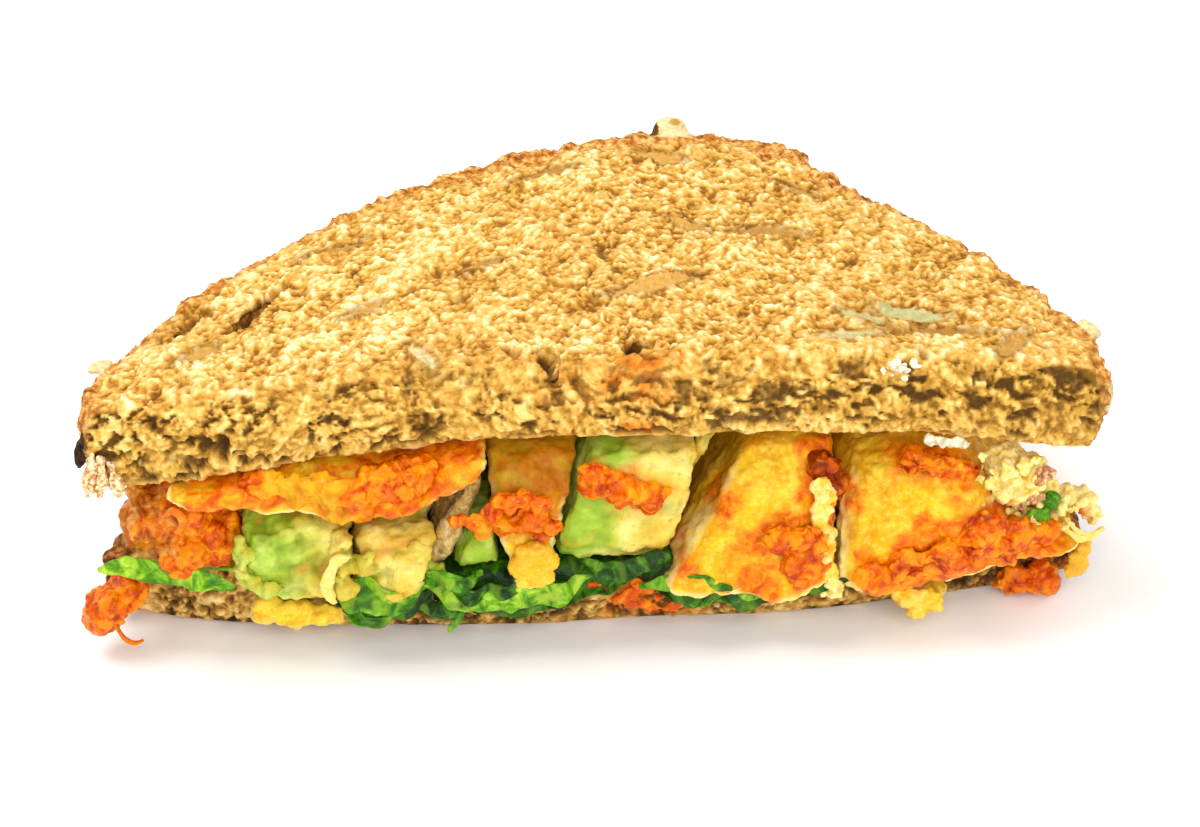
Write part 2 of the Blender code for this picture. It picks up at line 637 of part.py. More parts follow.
def toppings(made):
    """Relish, curds and scraps that lie on the fillings and the bread."""
    right, left, bottom = made["omelette_right"], made["omelette_left"], made["bottom_slice"]
    mid, centre = made["omelette_mid"], made["omelette_centre"]
    made["relish_left"] = heap("relish_left", relish(), [
        ((-65.5, 7.5, 21.8), (16.0, 15.0, 11.5)), ((-71.0, 6.5, 21.0), (7.0, 8.0, 9.0)),
        ((-60.4, 3.4, 19.2), (6.0, 7.5, 8.4)), ((-66.0, 0.8, 18.6), (8.4, 6.0, 6.6)),
        ((-65.0, 1.5, 26.0), (7.6, 6.0, 5.5))], [left, made["avocado_left"], made["leaf_left"]], 21.0, 2)
    made["relish_flap"] = smear("relish_flap", relish(), [
        (-52.5, 32.4, 10.0, 3.6, 4.6), (-46.0, 32.0, 10.0, 5.8, 5.0), (-40.4, 30.2, 9.0, 8.4, 5.4),
        (-34.6, 31.8, 10.0, 7.4, 5.6), (-29.6, 33.2, 7.0, 5.0, 5.4)],
        [left], [left, made["mushroom"]], 31.0)
    made["relish_mid"] = smear("relish_mid", relish(), [
        (-12.6, 25.6, 6.6, 6.8, 6.0), (-16.4, 24.6, 6.6, 5.6, 6.6), (-10.6, 23.6, 5.0, 5.6, 5.4)],
        [mid], [mid, made["avocado_low"], made["mushroom"]], 22.0)
    made["relish_on_avocado"] = smear("relish_on_avocado", relish(), [
        (-2.6, 31.2, 6.8, 7.0, 4.6), (1.4, 28.8, 6.8, 5.4, 4.8), (5.6, 27.6, 6.2, 5.6, 4.4)],
        [made["avocado_centre"]], [made["avocado_centre"], mid], 23.0)
    made["relish_centre"] = smear("relish_centre", relish(), [
        (26.0, 20.4, 7.0, 6.0, 4.2), (30.4, 19.6, 6.6, 6.6, 4.2), (28.8, 16.0, 6.4, 5.6, 4.0)],
        [centre], [centre], 32.0)
    made["tomato_skin"] = smear("tomato_skin", relish(), [
        (33.2, 29.4, 4.4, 5.4, 4.6), (33.8, 26.8, 3.4, 4.0, 4.4)], [centre], [centre, right], 33.0,
        out=0.3, beads=0)
    made["relish_right"] = smear("relish_right", relish(), [
        (41.0, 12.6, 7.0, 4.8, 4.4), (46.2, 14.4, 8.0, 6.2, 4.8), (51.6, 16.2, 8.6, 7.0, 5.0),
        (57.0, 19.6, 8.0, 9.0, 5.4), (61.4, 17.4, 8.2, 6.0, 5.2), (66.0, 16.8, 6.6, 4.4, 4.6)],
        [right], [right], 24.0)
    made["relish_top_right"] = smear("relish_top_right", relish(), [
        (46.4, 29.4, 6.4, 4.0, 4.2), (51.0, 29.0, 7.0, 4.4, 4.6), (55.2, 28.0, 5.4, 4.0, 4.2)],
        [right], [right], 34.0)
    made["curds_right"] = heap("curds_right", omelette(), [
        ((61.4, 3.0, 26.4), (7.6, 8.0, 9.0)), ((65.2, 3.0, 25.0), (6.6, 8.0, 8.4)),
        ((62.8, 1.4, 23.6), (6.4, 6.4, 6.0)), ((67.4, 3.4, 22.4), (6.0, 7.4, 6.8))],
        [right, made["relish_right"]], 25.0, 2)
    made["curds_tip"] = heap("curds_tip", omelette(), [
        ((72.0, 3.6, 19.6), (5.6, 6.4, 5.6)), ((74.8, 5.2, 17.6), (5.0, 5.8, 5.6)),
        ((76.6, 5.8, 14.4), (3.8, 5.0, 5.0))], [right, bottom, made["curds_right"]], 26.0)
    made["scrap_left"] = smear("scrap_left", omelette(), [
        (-54.0, 7.0, 6.8, 6.8, 3.8), (-49.6, 6.0, 7.8, 6.8, 4.2), (-44.8, 6.0, 6.8, 5.2, 3.8)],
        [bottom], [bottom, made["avocado_left"]], 27.0, forward=2.6)
    made["scrap_right"] = smear("scrap_right", omelette(), [
        (46.8, 4.6, 6.4, 6.2, 3.8), (50.8, 4.0, 6.6, 7.0, 4.4)],
        [bottom], [bottom, right], 28.0, forward=2.2)
    made["relish_drop_left"] = heap("relish_drop_left", relish(), [
        ((-78.4, 1.6, 7.4), (8.0, 6.6, 8.6)), ((-75.4, 3.0, 9.8), (6.4, 6.0, 5.4))],
        [bottom, made["leaf_left"]], 29.0)
    made["relish_drop_right"] = smear("relish_drop_right", relish(), [
        (64.4, 3.0, 5.8, 4.8, 4.2), (68.2, 2.9, 6.2, 4.6, 4.4)],
        [bottom], [bottom, right], 30.0, forward=0.8)


def centre_on_floor(made):
    """Moves every piece so that the whole stands on z = 0 with its bounds centred on the origin."""
    spots = [v.co for thing in made for v in thing.data.vertices]
    low = Vector([min(p[k] for p in spots) for k in range(3)])
    high = Vector([max(p[k] for p in spots) for k in range(3)])
    shift = Vector((-(low.x + high.x) / 2, -(low.y + high.y) / 2, -low.z))
    for thing in made:
        thing.data.transform(Matrix.Translation(shift))


def build():
    remove(bpy.data.objects)
    made = {"bottom_slice": bottom_slice(), "top_slice": top_slice()}
    made.update(fillings())
    made["omelette_left"] = omelette_left()
    for thing in leaves():
        made[thing.name] = thing
    toppings(made)
    centre_on_floor([thing for thing in bpy.context.scene.objects if thing.type == "MESH"])


build()
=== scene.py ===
import itertools
import math
import random

import bmesh
import bpy
import numpy as np
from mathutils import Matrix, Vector
from mathutils.kdtree import KDTree


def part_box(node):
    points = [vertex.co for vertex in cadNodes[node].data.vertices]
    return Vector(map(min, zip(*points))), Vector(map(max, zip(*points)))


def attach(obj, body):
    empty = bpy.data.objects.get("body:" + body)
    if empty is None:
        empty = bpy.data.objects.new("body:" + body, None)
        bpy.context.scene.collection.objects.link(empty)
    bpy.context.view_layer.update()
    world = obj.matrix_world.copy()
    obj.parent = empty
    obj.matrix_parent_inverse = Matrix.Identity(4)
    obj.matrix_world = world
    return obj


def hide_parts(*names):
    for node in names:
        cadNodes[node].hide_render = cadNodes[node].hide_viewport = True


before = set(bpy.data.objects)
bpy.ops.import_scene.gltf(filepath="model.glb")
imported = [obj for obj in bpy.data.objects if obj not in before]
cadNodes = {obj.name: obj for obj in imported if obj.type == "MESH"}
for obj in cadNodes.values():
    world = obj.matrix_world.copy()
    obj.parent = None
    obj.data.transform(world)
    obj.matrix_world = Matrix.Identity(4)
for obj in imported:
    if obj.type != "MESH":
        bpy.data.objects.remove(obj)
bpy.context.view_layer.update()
mm = 0.001

# The sizes in this file are in millimetres from the middle of the cut, at the table.
# The bottom slice's lowest corner ties them to the part.
bottomCorner = Vector((-79.4, 0.53, 0))
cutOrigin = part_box("bottom_slice")[0] / mm - bottomCorner
print("frame loaded, cut origin at", [round(c, 2) for c in cutOrigin])


# colour and node helpers

def srgb(hexColour, alpha=1.0):
    # hex to the linear values that shaders take
    parts = [int(hexColour[k:k + 2], 16) / 255 for k in (1, 3, 5)]
    linear = [c / 12.92 if c <= 0.04045 else ((c + 0.055) / 1.055) ** 2.4 for c in parts]
    return (*linear, alpha)


def addNode(tree, kind, values):
    # values by name: node properties, socket values, hex colours, or sockets to join
    node = tree.nodes.new("ShaderNode" + kind)
    for key, value in values.items():
        if isinstance(key, str) and hasattr(node, key):
            setattr(node, key, value)
        elif isinstance(value, bpy.types.NodeSocket):
            tree.links.new(value, node.inputs[key])
        else:
            node.inputs[key].default_value = srgb(value) if isinstance(value, str) else value
    return node


def layered(name, grains, looks, bump=None, extra=None):
    # grains: noises, each with its spacing in mm, detail, roughness and distortion
    # looks: a value for each shader socket, or a list: the ground, then the layers painted over it,
    # each with where it shows and its colour. What is painted is a hex colour, a noise, a mask of the
    # mesh, a list of its own, or one of these with the places and the levels or colours of a ramp.
    # bump: noise, strength and depth in mm
    made = bpy.data.materials.new(name)
    made.use_nodes = True
    tree = made.node_tree
    shader = tree.nodes["Principled BSDF"]
    place = addNode(tree, "TexCoord", {}).outputs["Object"]
    sources = {}
    for key, (size, detail, roughness, distortion) in grains.items():
        sources[key] = addNode(tree, "TexNoise", {
            "Scale": 1 / (size * mm), "Detail": detail, "Roughness": roughness,
            "Distortion": distortion, "Vector": place}).outputs["Fac"]
    if extra:
        extra(tree, place, sources)

    def read(item):
        if isinstance(item, list):
            return paint(item)
        if isinstance(item, tuple):
            source, places, levels = item
            node = addNode(tree, "ValToRGB", {"Fac": read(source)})
            stops = node.color_ramp.elements
            while len(stops) < len(places):
                stops.new(0.5)
            for stop, at, level in zip(stops, places, levels):
                stop.position = at
                stop.color = srgb(level) if isinstance(level, str) else (level, level, level, 1)
            return node.outputs["Color"]
        if item not in sources and not item.startswith("#"):
            sources[item] = addNode(tree, "Attribute", {"attribute_name": item}).outputs["Fac"]
        return sources.get(item, item)

    def paint(layers):
        painted = read(layers[0])
        for where, colour in layers[1:]:
            painted = addNode(tree, "Mix", {
                "data_type": "RGBA", 0: read(where), 6: painted, 7: read(colour)}).outputs[2]
        return painted

    for key, value in looks.items():
        if isinstance(value, list):
            tree.links.new(paint(value), shader.inputs[key])
        else:
            shader.inputs[key].default_value = value
    if bump:
        grain, strength, depth = bump
        raised = addNode(tree, "Bump", {
            "Strength": strength, "Distance": depth * mm, "Height": sources[grain]})
        tree.links.new(raised.outputs["Normal"], shader.inputs["Normal"])
    return made


# noise on vertices, for relief that is real geometry

def hashed(cells, seed):
    n = cells[..., 0] * 73856093 ^ cells[..., 1] * 19349663 ^ cells[..., 2] * 83492791 ^ (seed * 40503 + 97)
    n = (n ^ (n >> 13)) * 1274126177 & 0x7fffffff
    n = (n ^ (n >> 15)) * 668265263 & 0x7fffffff
    return (n ^ (n >> 12)) / 0x7fffffff


def smoothNoise(points, size, seed):
    # value noise from -1 to 1, points and size in mm
    p = points / size + seed * 17.31
    base = np.floor(p).astype(np.int64)
    f = p - base
    f = f * f * f * (f * (f * 6 - 15) + 10)
    total = np.zeros(len(p))
    for corner in range(8):
        step = np.array([corner & 1, corner >> 1 & 1, corner >> 2 & 1])
        weight = np.prod(np.where(step, f, 1 - f), axis=1)
        total += weight * hashed(base + step, seed)
    return total * 2 - 1


def roughNoise(points, size, seed, octaves=3):
    total, weight, span = 0, 0, 1.0
    for k in range(octaves):
        total = total + span * smoothNoise(points, size / 2 ** k, seed + k)
        weight += span
        span *= 0.55
    return total / weight * 1.5


def cells(points, size, seed, jitter=0.9):
    # distances to the two nearest scattered points in cell sizes, and the nearest one's number, 0 to 1
    p = points / size + seed * 5.77
    base = np.floor(p).astype(np.int64)
    first = np.full(len(p), 9.0)
    second = np.full(len(p), 9.0)
    owner = np.zeros(len(p))
    for step in itertools.product((-1, 0, 1), repeat=3):
        cell = base + np.array(step)
        shift = np.stack([hashed(cell, seed + k) for k in (1, 2, 3)], 1) - 0.5
        away = np.linalg.norm(cell + 0.5 + jitter * shift - p, axis=1)
        nearer = away < first
        second = np.where(nearer, first, np.minimum(second, away))
        owner = np.where(nearer, hashed(cell, seed + 4), owner)
        first = np.where(nearer, away, first)
    return first, second, owner


def wander(noise, points, size, seeds, *octaves):
    # three of the noises, which shift each point
    return np.stack([noise(points, size, s, *octaves) for s in seeds], 1)


def dome(near, steep=1.4):
    return np.clip(1 - near ** 2 * steep, 0, 1)


def fade(value, low, high):
    t = np.clip((value - low) / (high - low), 0, 1)
    return t * t * (3 - 2 * t)


# meshes

def pointsOf(mesh):
    flat = np.empty(len(mesh.vertices) * 3)
    mesh.vertices.foreach_get("co", flat)
    return flat.reshape(-1, 3) / mm - np.array(cutOrigin)


def normalsOf(mesh):
    flat = np.empty(len(mesh.vertices) * 3)
    mesh.vertex_normals.foreach_get("vector", flat)
    return flat.reshape(-1, 3)


def setPoints(mesh, points):
    mesh.vertices.foreach_set("co", ((points + np.array(cutOrigin)) * mm).ravel())
    mesh.update()


def push(mesh, points, height):
    setPoints(mesh, points + normalsOf(mesh) * height[:, None])


def setMask(mesh, name, values):
    # one value for each vertex, or the same for all
    layer = mesh.attributes.new(name, "FLOAT", "POINT")
    level = np.clip(values, 0, 1) + np.zeros(len(mesh.vertices))
    layer.data.foreach_set("value", level.astype(np.float32))


def addObject(name, data):
    made = bpy.data.objects.new(name, data)
    bpy.context.scene.collection.objects.link(made)
    return made


def applyModifiers(piece):
    graph = bpy.context.evaluated_depsgraph_get()
    mesh = bpy.data.meshes.new_from_object(piece.evaluated_get(graph))
    piece.modifiers.clear()
    piece.data = mesh
    mesh.shade_smooth()


def remesh(piece, voxel, relax):
    # small even faces, so that the piece can carry relief
    skin = piece.modifiers.new("voxels", "REMESH")
    skin.mode = "VOXEL"
    skin.voxel_size = voxel * mm
    ease = piece.modifiers.new("ease", "SMOOTH")
    ease.factor = 0.5
    ease.iterations = relax
    applyModifiers(piece)


def copyOf(node, name):
    piece = addObject(name, cadNodes[node].data.copy())
    piece.data.materials.clear()
    bm = bmesh.new()
    bm.from_mesh(piece.data)
    bmesh.ops.remove_doubles(bm, verts=bm.verts, dist=1e-7)
    bm.to_mesh(piece.data)
    bm.free()
    return piece


def denseCopy(node, name, voxel, relax=3, swell=0.0):
    # the node's own form, ready for relief
    piece = copyOf(node, name)
    if swell:
        grow = piece.modifiers.new("swell", "DISPLACE")
        grow.strength = swell * mm
        grow.mid_level = 0
    remesh(piece, voxel, relax)
    return piece


def thinUnderside(piece, share):
    # keeps that share of the faces, and takes the others only where the piece faces down
    group = piece.vertex_groups.new(name="under")
    group.add(np.nonzero(normalsOf(piece.data)[:, 2] < -0.8)[0].tolist(), 1.0, "REPLACE")
    fewer = piece.modifiers.new("fewer", "DECIMATE")
    fewer.ratio = share
    fewer.vertex_group = "under"
    fewer.vertex_group_factor = 1.0
    applyModifiers(piece)
    piece.vertex_groups.clear()


def smoothLine(points, steps):
    # a smooth line through the points, with the given number of steps in each span
    ends = [Vector(p) for p in points]
    ends = [2 * ends[0] - ends[1]] + ends + [2 * ends[-1] - ends[-2]]
    line = []
    for a, b, c, d in zip(ends, ends[1:], ends[2:], ends[3:]):
        for k in range(steps):
            t = k / steps
            line.append(0.5 * (2 * b + (c - a) * t + (2 * a - 5 * b + 4 * c - d) * t * t
                               + (3 * b - a - 3 * c + d) * t ** 3))
    return line + [ends[-2]]


def blob(name, lumps, voxel, relax=3):
    # lumps of centre and size, run together into one body
    bm = bmesh.new()
    for centre, size in lumps:
        for v in bmesh.ops.create_icosphere(bm, subdivisions=3, radius=0.5)["verts"]:
            v.co = (Vector([c * s for c, s in zip(v.co, size)]) + Vector(centre) + cutOrigin) * mm
    mesh = bpy.data.meshes.new(name)
    bm.to_mesh(mesh)
    bm.free()
    piece = addObject(name, mesh)
    remesh(piece, voxel, relax)
    return piece


def dress(piece, material, slot, *replaced):
    piece.data.materials.clear()
    piece.data.materials.append(material)
    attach(piece, "root")
    if replaced:
        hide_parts(*replaced)
    return piece


# Bread: multigrain pan loaf, sliced and toasted dry. Golden raised crumb, tan hollows, thin brown crust.
# The hollows, cracks and pores carry painted shade.

bread = {
    "voxel": 0.43,            # face size of the top slice
    "bottomVoxel": 0.5,
    "crumbSize": 0.95,        # one raised crumb
    "crumbHeight": 0.66,
    "stretch": 1.35,          # the crumbs are longer along the slice's swirl
    "hollowSize": 3.2,        # spacing of the longer hollows
    "hollowDepth": 0.42,
    "crackDepth": 0.55,
    "crustWidth": 3.4,
    # how far the lower front edge of the top slice hangs down: x and mm
    "hang": [
        (-80, 1.2), (-72, 1.8), (-60, 2), (-45, 0.6), (-20, 0.4), (0, 1.2), (30, 0.8), (45, 0.8), (65, 2.2),
        (78, 2.2)],
    "outline": [
        (-78.5, 0), (-80, 8), (-76.5, 16.5), (-64, 33), (-50, 47), (-33, 60), (-15, 70), (5, 75.5),
        (22, 76.5), (34, 72), (44.5, 57.5), (57, 45.5), (67, 31), (74.8, 16), (76.8, 7), (74.8, 0)],
    # seeds cut flush with the face: x, y, length, width, turn, tone
    "seeds": [
        (47.5, 18.2, 9.5, 3.4, -14, 0.75), (40, 16.7, 6.5, 2.6, -28, 0.75), (37.5, 11.9, 7.5, 2.2, 4, 0.8),
        (52.1, 12.9, 11, 1.8, -3, 0.3), (62.2, 9.2, 7, 2.6, 52, 0.42), (8.4, 26.6, 12, 2.4, 22, 0.5),
        (12.8, 67.2, 7, 3.2, -24, 0.5), (-28.1, 10.1, 6.5, 2.6, -62, 0.9), (-62.7, 15.5, 7, 2.4, 40, 0.45),
        (-6.6, 62.8, 8.5, 2, 16, 0.35), (28.3, 42.1, 9, 1.8, -6, 0.35), (-41.6, 42.6, 8, 1.8, 24, 0.4),
        (15.5, 45.1, 6, 2.2, -30, 0.45), (-18.1, 34.6, 5.5, 1.8, 30, 0.4), (33.9, 56, 6.5, 1.8, -38, 0.4),
        (-36.9, 23.6, 6, 2, 35, 0.45)],
    # flakes, a kernel and charred seeds on the crust: x, y, z, length, width, thickness, turn, tone
    "bits": [
        (12.5, 77, 43, 2, 4.6, 4.6, 0, 0.04), (16.4, 76.6, 45.6, 2.6, 1.8, 1.6, 20, 0.42),
        (15.5, 77.2, 43, 7, 5.4, 5, 0, 1), (58.5, 46, 43, 7.5, 3.2, 1.8, -38, 0.95),
        (-77.5, 17.5, 42.5, 6, 3.2, 1.8, 48, 0.95), (-80.3, 4.5, 36.5, 3.4, 3, 5.6, 0, 0),
        (75.6, 15.5, 43.5, 5.5, 2.6, 1.8, -55, 0.95), (76.8, 6, 38.5, 2, 5, 6, 10, 0.9),
        (68.5, 29.5, 43, 5, 2.4, 1.7, -55, 0.95)],
    # long grooves and open holes: x, y, z, length, width, turn, depth
    "holes": [
        (-52.9, 28.3, 46, 15, 2.2, 52, 1.6), (-63.5, 25.5, 46, 10, 1.7, 46, 1.2),
        (-9.3, 7.8, 46, 6.5, 2.4, -68, 2.2), (4.7, 9.8, 46, 4.6, 2.6, 20, 2.2),
        (-14.4, 10.1, 46, 4, 1.6, -60, 1.4), (-4.3, 3.6, 44, 4, 2, -50, 1.6),
        (-58.5, 1, 39, 2.6, 5, 8, 2.2), (-31, 1, 38, 3.4, 1.4, 20, 1.2), (17, 1.5, 38, 4, 1.2, 0, 1),
        (-24, 1, 37, 3, 1.6, -20, 1.2), (-36.6, 46.6, 46, 6, 1.2, 40, 0.9), (3, 39.5, 46, 5, 1.3, 30, 0.9),
        (-21.4, 25.6, 46, 4, 1.5, 40, 1.1), (29.6, 27.1, 46, 5, 1.1, 20, 0.9),
        (51.7, 29.8, 46, 5, 1.1, 15, 0.9)],
    # relish that soaked in: x, y, radius, strength
    "stains": [(5.5, 5, 5, 0.85), (-7.5, 3, 2.6, 0.5)],
    "bottomStains": [(4.5, 0, 6, 0.9), (-66, 0, 3, 0.5), (67, 4, 6, 0.6), (-33, 0, 3, 0.4)],
}


def crumbLevel(tree, place, sources):
    # how high the crumb stands, a little uneven
    relief = addNode(tree, "Attribute", {"attribute_name": "relief"}).outputs["Fac"]
    raised = addNode(tree, "Math", {
        "operation": "MULTIPLY_ADD", 0: sources["fine"], 1: 0.5, 2: relief}).outputs[0]
    sources["level"] = addNode(tree, "MapRange", {0: raised, 1: 0.22, 2: 1.18}).outputs[0]


def toastMaterial(name, look):
    # toasted wheat crumb: dry and matt, cream where the crumb stands up, brown in its hollows. The brown is
    # partly the toast's own colour and partly painted shade; pores and grooves get near-black painted shade
    return layered(name, {
        "fine": (0.75, 4, 0.65, 0.4), "broad": (13, 4, 0.55, 0), "fleck": (1.4, 4, 0.6, 0),
        "grain": (1, 3, 0.6, 0)}, {
        "Base Color": [
            # the level ramp darkens low crumb: partly the toast's own colour, partly painted shade
            ("level", (0.06, 0.26, 0.46, 0.66, 0.9), look["tones"]),
            (("broad", (0.48, 0.7), (0, 0.6)), ("level", (0.1, 0.4, 0.7, 0.95), look["deeper"])),
            ("cut", ("level", (0.05, 0.3, 0.55, 0.85), look["cut"])),
            ("crust", ("fleck", (0.36, 0.5, 0.62), look["crust"])),
            ("stain", ("level", (0, 1), ("#b04e06", "#ff9a1c"))),
            # painted shade: near-black in the pores, the grooves and the rings round the cut seeds
            ("hole", look["hole"]),
            ("seed", [
                ("tone", (0, 0.25, 0.5, 0.75, 1), ("#1d130b", "#a8742e", "#d8a652", "#c4c084", "#f3dca4")),
                (("grain", (0.35, 0.6), (0.35, 0)), "#7c5624")])],
        "Roughness": 0.85, "IOR": 1.45, "Specular IOR Level": 0.25}, ("fine", 0.8, 0.5), crumbLevel)


def outlineDistance(points):
    # how far each point is inside the crust line, in plan
    line = smoothLine(bread["outline"], 3)
    away = np.full(len(points), 999.0)
    for p, q in zip(line, line[1:]):
        step = np.array(q - p)
        t = np.clip(((points[:, :2] - np.array(p)) @ step) / (step @ step), 0, 1)
        away = np.minimum(away, np.linalg.norm(points[:, :2] - np.array(p) - t[:, None] * step, axis=1))
    return away


def oval(points, x, y, length, width, turn):
    # distance from the middle of an oval in plan, 1 on its edge
    angle = math.radians(turn)
    dx, dy = points[:, 0] - x, points[:, 1] - y
    u = (dx * math.cos(angle) + dy * math.sin(angle)) / (length / 2)
    v = (dy * math.cos(angle) - dx * math.sin(angle)) / (width / 2)
    return np.hypot(u, v)


def seedMasks(points, normals):
    seed, tone, shadeRing = (np.zeros(len(points)) for _ in range(3))
    for x, y, length, width, turn, shade in bread["seeds"]:
        away = oval(points, x, y, length, width, turn) + 9 * (normals[:, 2] < 0.1)
        inside = fade(1.15 - away, 0, 0.2)
        # painted shade: a dark ring round each cut seed, at the edge of its groove
        shadeRing = np.maximum(shadeRing, fade(0.6 - np.abs(away - 1.3) * width / 2, 0, 0.35))
        tone = np.where(inside > seed, shade, tone)
        seed = np.maximum(seed, inside)
    flush = seed.copy()
    for x, y, z, length, width, thick, turn, shade in bread["bits"]:
        away = np.hypot(oval(points, x, y, length, width, turn), (points[:, 2] - z) / (thick / 2))
        inside = fade(1.3 - away, 0, 0.2)
        tone = np.where(inside > seed, shade, tone)
        seed = np.maximum(seed, inside)
    return seed, tone, flush, shadeRing


def pores(points, spacing, share, radius, seed):
    # scattered round pores, 1 inside
    near, second, owner = cells(points, spacing, seed)
    size = radius / spacing * (0.55 + 0.9 * (owner - 1 + share) / share)
    return fade(size - near, -0.06, 0.1) * (owner > 1 - share)


def crumbRelief(mesh, bottom=False):
    # raised crumb, longer hollows, cracks, open pores and a lumpy crust, moved along the normals
    points, normals = pointsOf(mesh), normalsOf(mesh)
    x, y, z = points.T
    hang = 0 * x if bottom else np.interp(x, *zip(*bread["hang"]))
    z -= hang * fade(39 - z, 0, 6) * fade(14 - y, 0, 10)
    turn = np.radians(56 + x * 0.1)
    along = x * np.cos(turn) + y * np.sin(turn)
    across = y * np.cos(turn) - x * np.sin(turn)
    drift = wander(smoothNoise, points, 2.4, (1, 2, 3))
    jag = wander(roughNoise, points, 1.6, (4, 5, 6), 2)
    grit = roughNoise(points, 1.0, 7, 2)

    def grains(place, size, seed):
        # ragged raised crumbs with narrow gaps
        near, second, owner = cells(place, size, seed)
        grain = 0.45 * dome(near) + 0.55 * fade(second - near, 0.05, 0.45)
        thread = 1 - fade(np.abs(smoothNoise(place, size * 1.15, seed + 40)), 0, 0.5)
        return np.clip(0.72 * grain * (0.6 + 0.4 * owner) + 0.36 * thread + 0.26 * grit, 0, 1.1)

    swirl = np.stack([along / bread["stretch"], across, z], 1) + 0.5 * drift + 0.4 * jag
    flatCrumb = grains(swirl, bread["crumbSize"], 11)
    torn = np.stack([x, y / 2.2, z / 2.0], 1) + 0.6 * drift + 0.5 * jag
    tornCrumb = grains(torn, 1.5, 13)
    front = fade(12 - y + 3 * smoothNoise(points, 7.0, 8), 0, 9)
    crumb = flatCrumb * (1 - front) + tornCrumb * front
    facing = fade(-normals[:, 1], 0.3, 0.85) * fade(16 - y, 0, 8)
    leftSide = fade(-18 - x + 8 * smoothNoise(points, 10.0, 35), -8, 14)
    if bottom:
        leftSide = np.maximum(leftSide, 0.8)

    longer = np.stack([along / 2.8, across, z], 1) + 0.6 * drift
    hollow = roughNoise(longer, bread["hollowSize"], 21, 2) * (1 - 0.4 * front)
    crack = fade(0.12 - np.abs(smoothNoise(longer + 9, 3.4, 25)), 0, 0.1)
    crack *= fade(smoothNoise(points, 9.0, 27), -0.1, 0.5)
    hole = pores(swirl, 4.4, 0.35, 0.5, 31) * 0.5
    hole = np.maximum(hole, pores(torn, 3.6, 0.5, 0.95, 33) * front * (1 - 0.7 * facing))
    # the cut face is a web with ragged pores, painted near-black as shade, open at the left and torn in
    # layers at the right
    slanted = np.stack([x * 0.9 - z * 0.4, y, z], 1) + 0.45 * drift + (0.8 if bottom else 0.5) * jag
    layers = np.stack([x / 2.2 + z * 0.5, y / 1.6, z - x * 0.1], 1) + 0.9 * drift + 0.5 * jag
    web = fade(roughNoise(slanted, 1.15, 37, 2) - (0.05 if bottom else 0.2), 0, 0.2)
    web *= fade(roughNoise(points, 5.0, 34, 2), -0.75, 0.0)
    layer = fade(roughNoise(layers, 1.4, 38, 2) - 0.22, 0, 0.2)
    streaks = np.stack([x / 0.8 + z * 0.5, y, z / 1.9], 1) + 0.7 * drift + 0.4 * jag
    sheet = leftSide * grains(slanted, 1.1, 36) + (1 - leftSide) * grains(streaks, 1.3, 39)
    crumb = crumb * (1 - facing) + sheet * facing
    gaps = web * leftSide + 0.85 * layer * (1 - leftSide)
    hole = np.maximum(hole * (1 - 0.8 * facing), facing * gaps)
    deep, lip = 0 * x, 0 * x
    if not bottom:
        under = 32.6 + 4.9 * (1 - (x / 78) ** 2) - hang
        above = z - under - 1.4 * roughNoise(points, 3.4, 47, 2)
        lip = fade(1.6 + 1.6 * fade(x, 15, 30) - above, 0, 1.0) * facing
        for hx, hy, hz, length, width, angle, depth in bread["holes"]:
            if hz < 42:  # in the cut face
                away = np.hypot((x - hx) / (length / 2), (z - hz) / (width / 2)) + 9 * (y > 9)
            else:
                away = oval(points, hx, hy, length, width, angle) + 9 * (normals[:, 2] < 0)
            inside = fade(1.1 + 0.35 * smoothNoise(points, 1.6, 43) - away, 0, 0.5)
            hole = np.maximum(hole, inside * (1.0 if depth > 2 else 0.45))
            deep = np.maximum(deep, inside * depth)
    hole *= 1 - 0.8 * lip
    edge = outlineDistance(points)
    wide = bread["crustWidth"] + 2.2 * fade(y, 45, 70) + 1.6 * roughNoise(points, 3.5, 41, 2)
    crust = fade(wide - edge, -0.5, 2.0)
    outward = fade(1 - np.abs(normals[:, 2]), 0.3, 0.8)
    crust = np.maximum(crust, outward * fade(6 - edge, 0, 2)) * (1 - facing)
    if bottom:
        crust = np.maximum(crust, 0.75 * fade(x + 2 * drift[:, 0], 64, 69))
    seed, tone, flush, shadeRing = [0 * x] * 4 if bottom else seedMasks(points, normals)

    height = bread["crumbHeight"] * (crumb - 0.38) * (1 - 0.35 * crust) * (1 - 0.15 * facing)
    height += bread["hollowDepth"] * hollow - bread["crackDepth"] * crack * (1 - crust)
    height += 0.35 * smoothNoise(points, 11.0, 45) + 0.7 * crust * roughNoise(points, 2.4, 51)
    height -= 0.9 * hole * (1 - 0.8 * crust)
    height = height * (1 - 0.85 * seed) - deep * 0.6 - 0.25 * flush - 0.1
    if bottom:
        height *= np.where(normals[:, 2] < -0.7, 0.0, 1.0)
    push(mesh, points, height)
    # relief and hole also set the colour: low crumb, cracks and pores get painted shade
    relief = 0.1 + 0.82 * crumb + 0.14 * hollow - 0.35 * crack - 0.3 * hole + 0.15 * lip
    setMask(mesh, "relief", relief - 0.12 * facing * fade(x, 30, 60))
    setMask(mesh, "hole", np.maximum(hole * 0.85, 0.4 * shadeRing) * (1 - seed))
    for name, values in (("cut", facing), ("crust", crust), ("seed", seed), ("tone", tone)):
        setMask(mesh, name, values)
    stain = 0 * x
    spread = 1 + 0.8 * roughNoise(points, 3.0, 61, 2)
    for sx, sy, radius, strength in bread["bottomStains" if bottom else "stains"]:
        away = np.hypot(x - sx, (y - sy) * 1.1)
        stain = np.maximum(stain, strength * fade(radius * spread - away, -3, 1.5))
    stain *= fade(crumb + 0.5 * roughNoise(points, 2.0, 63, 2), 0.1, 0.6)
    setMask(mesh, "stain", stain * (normals[:, 2] > -0.6))
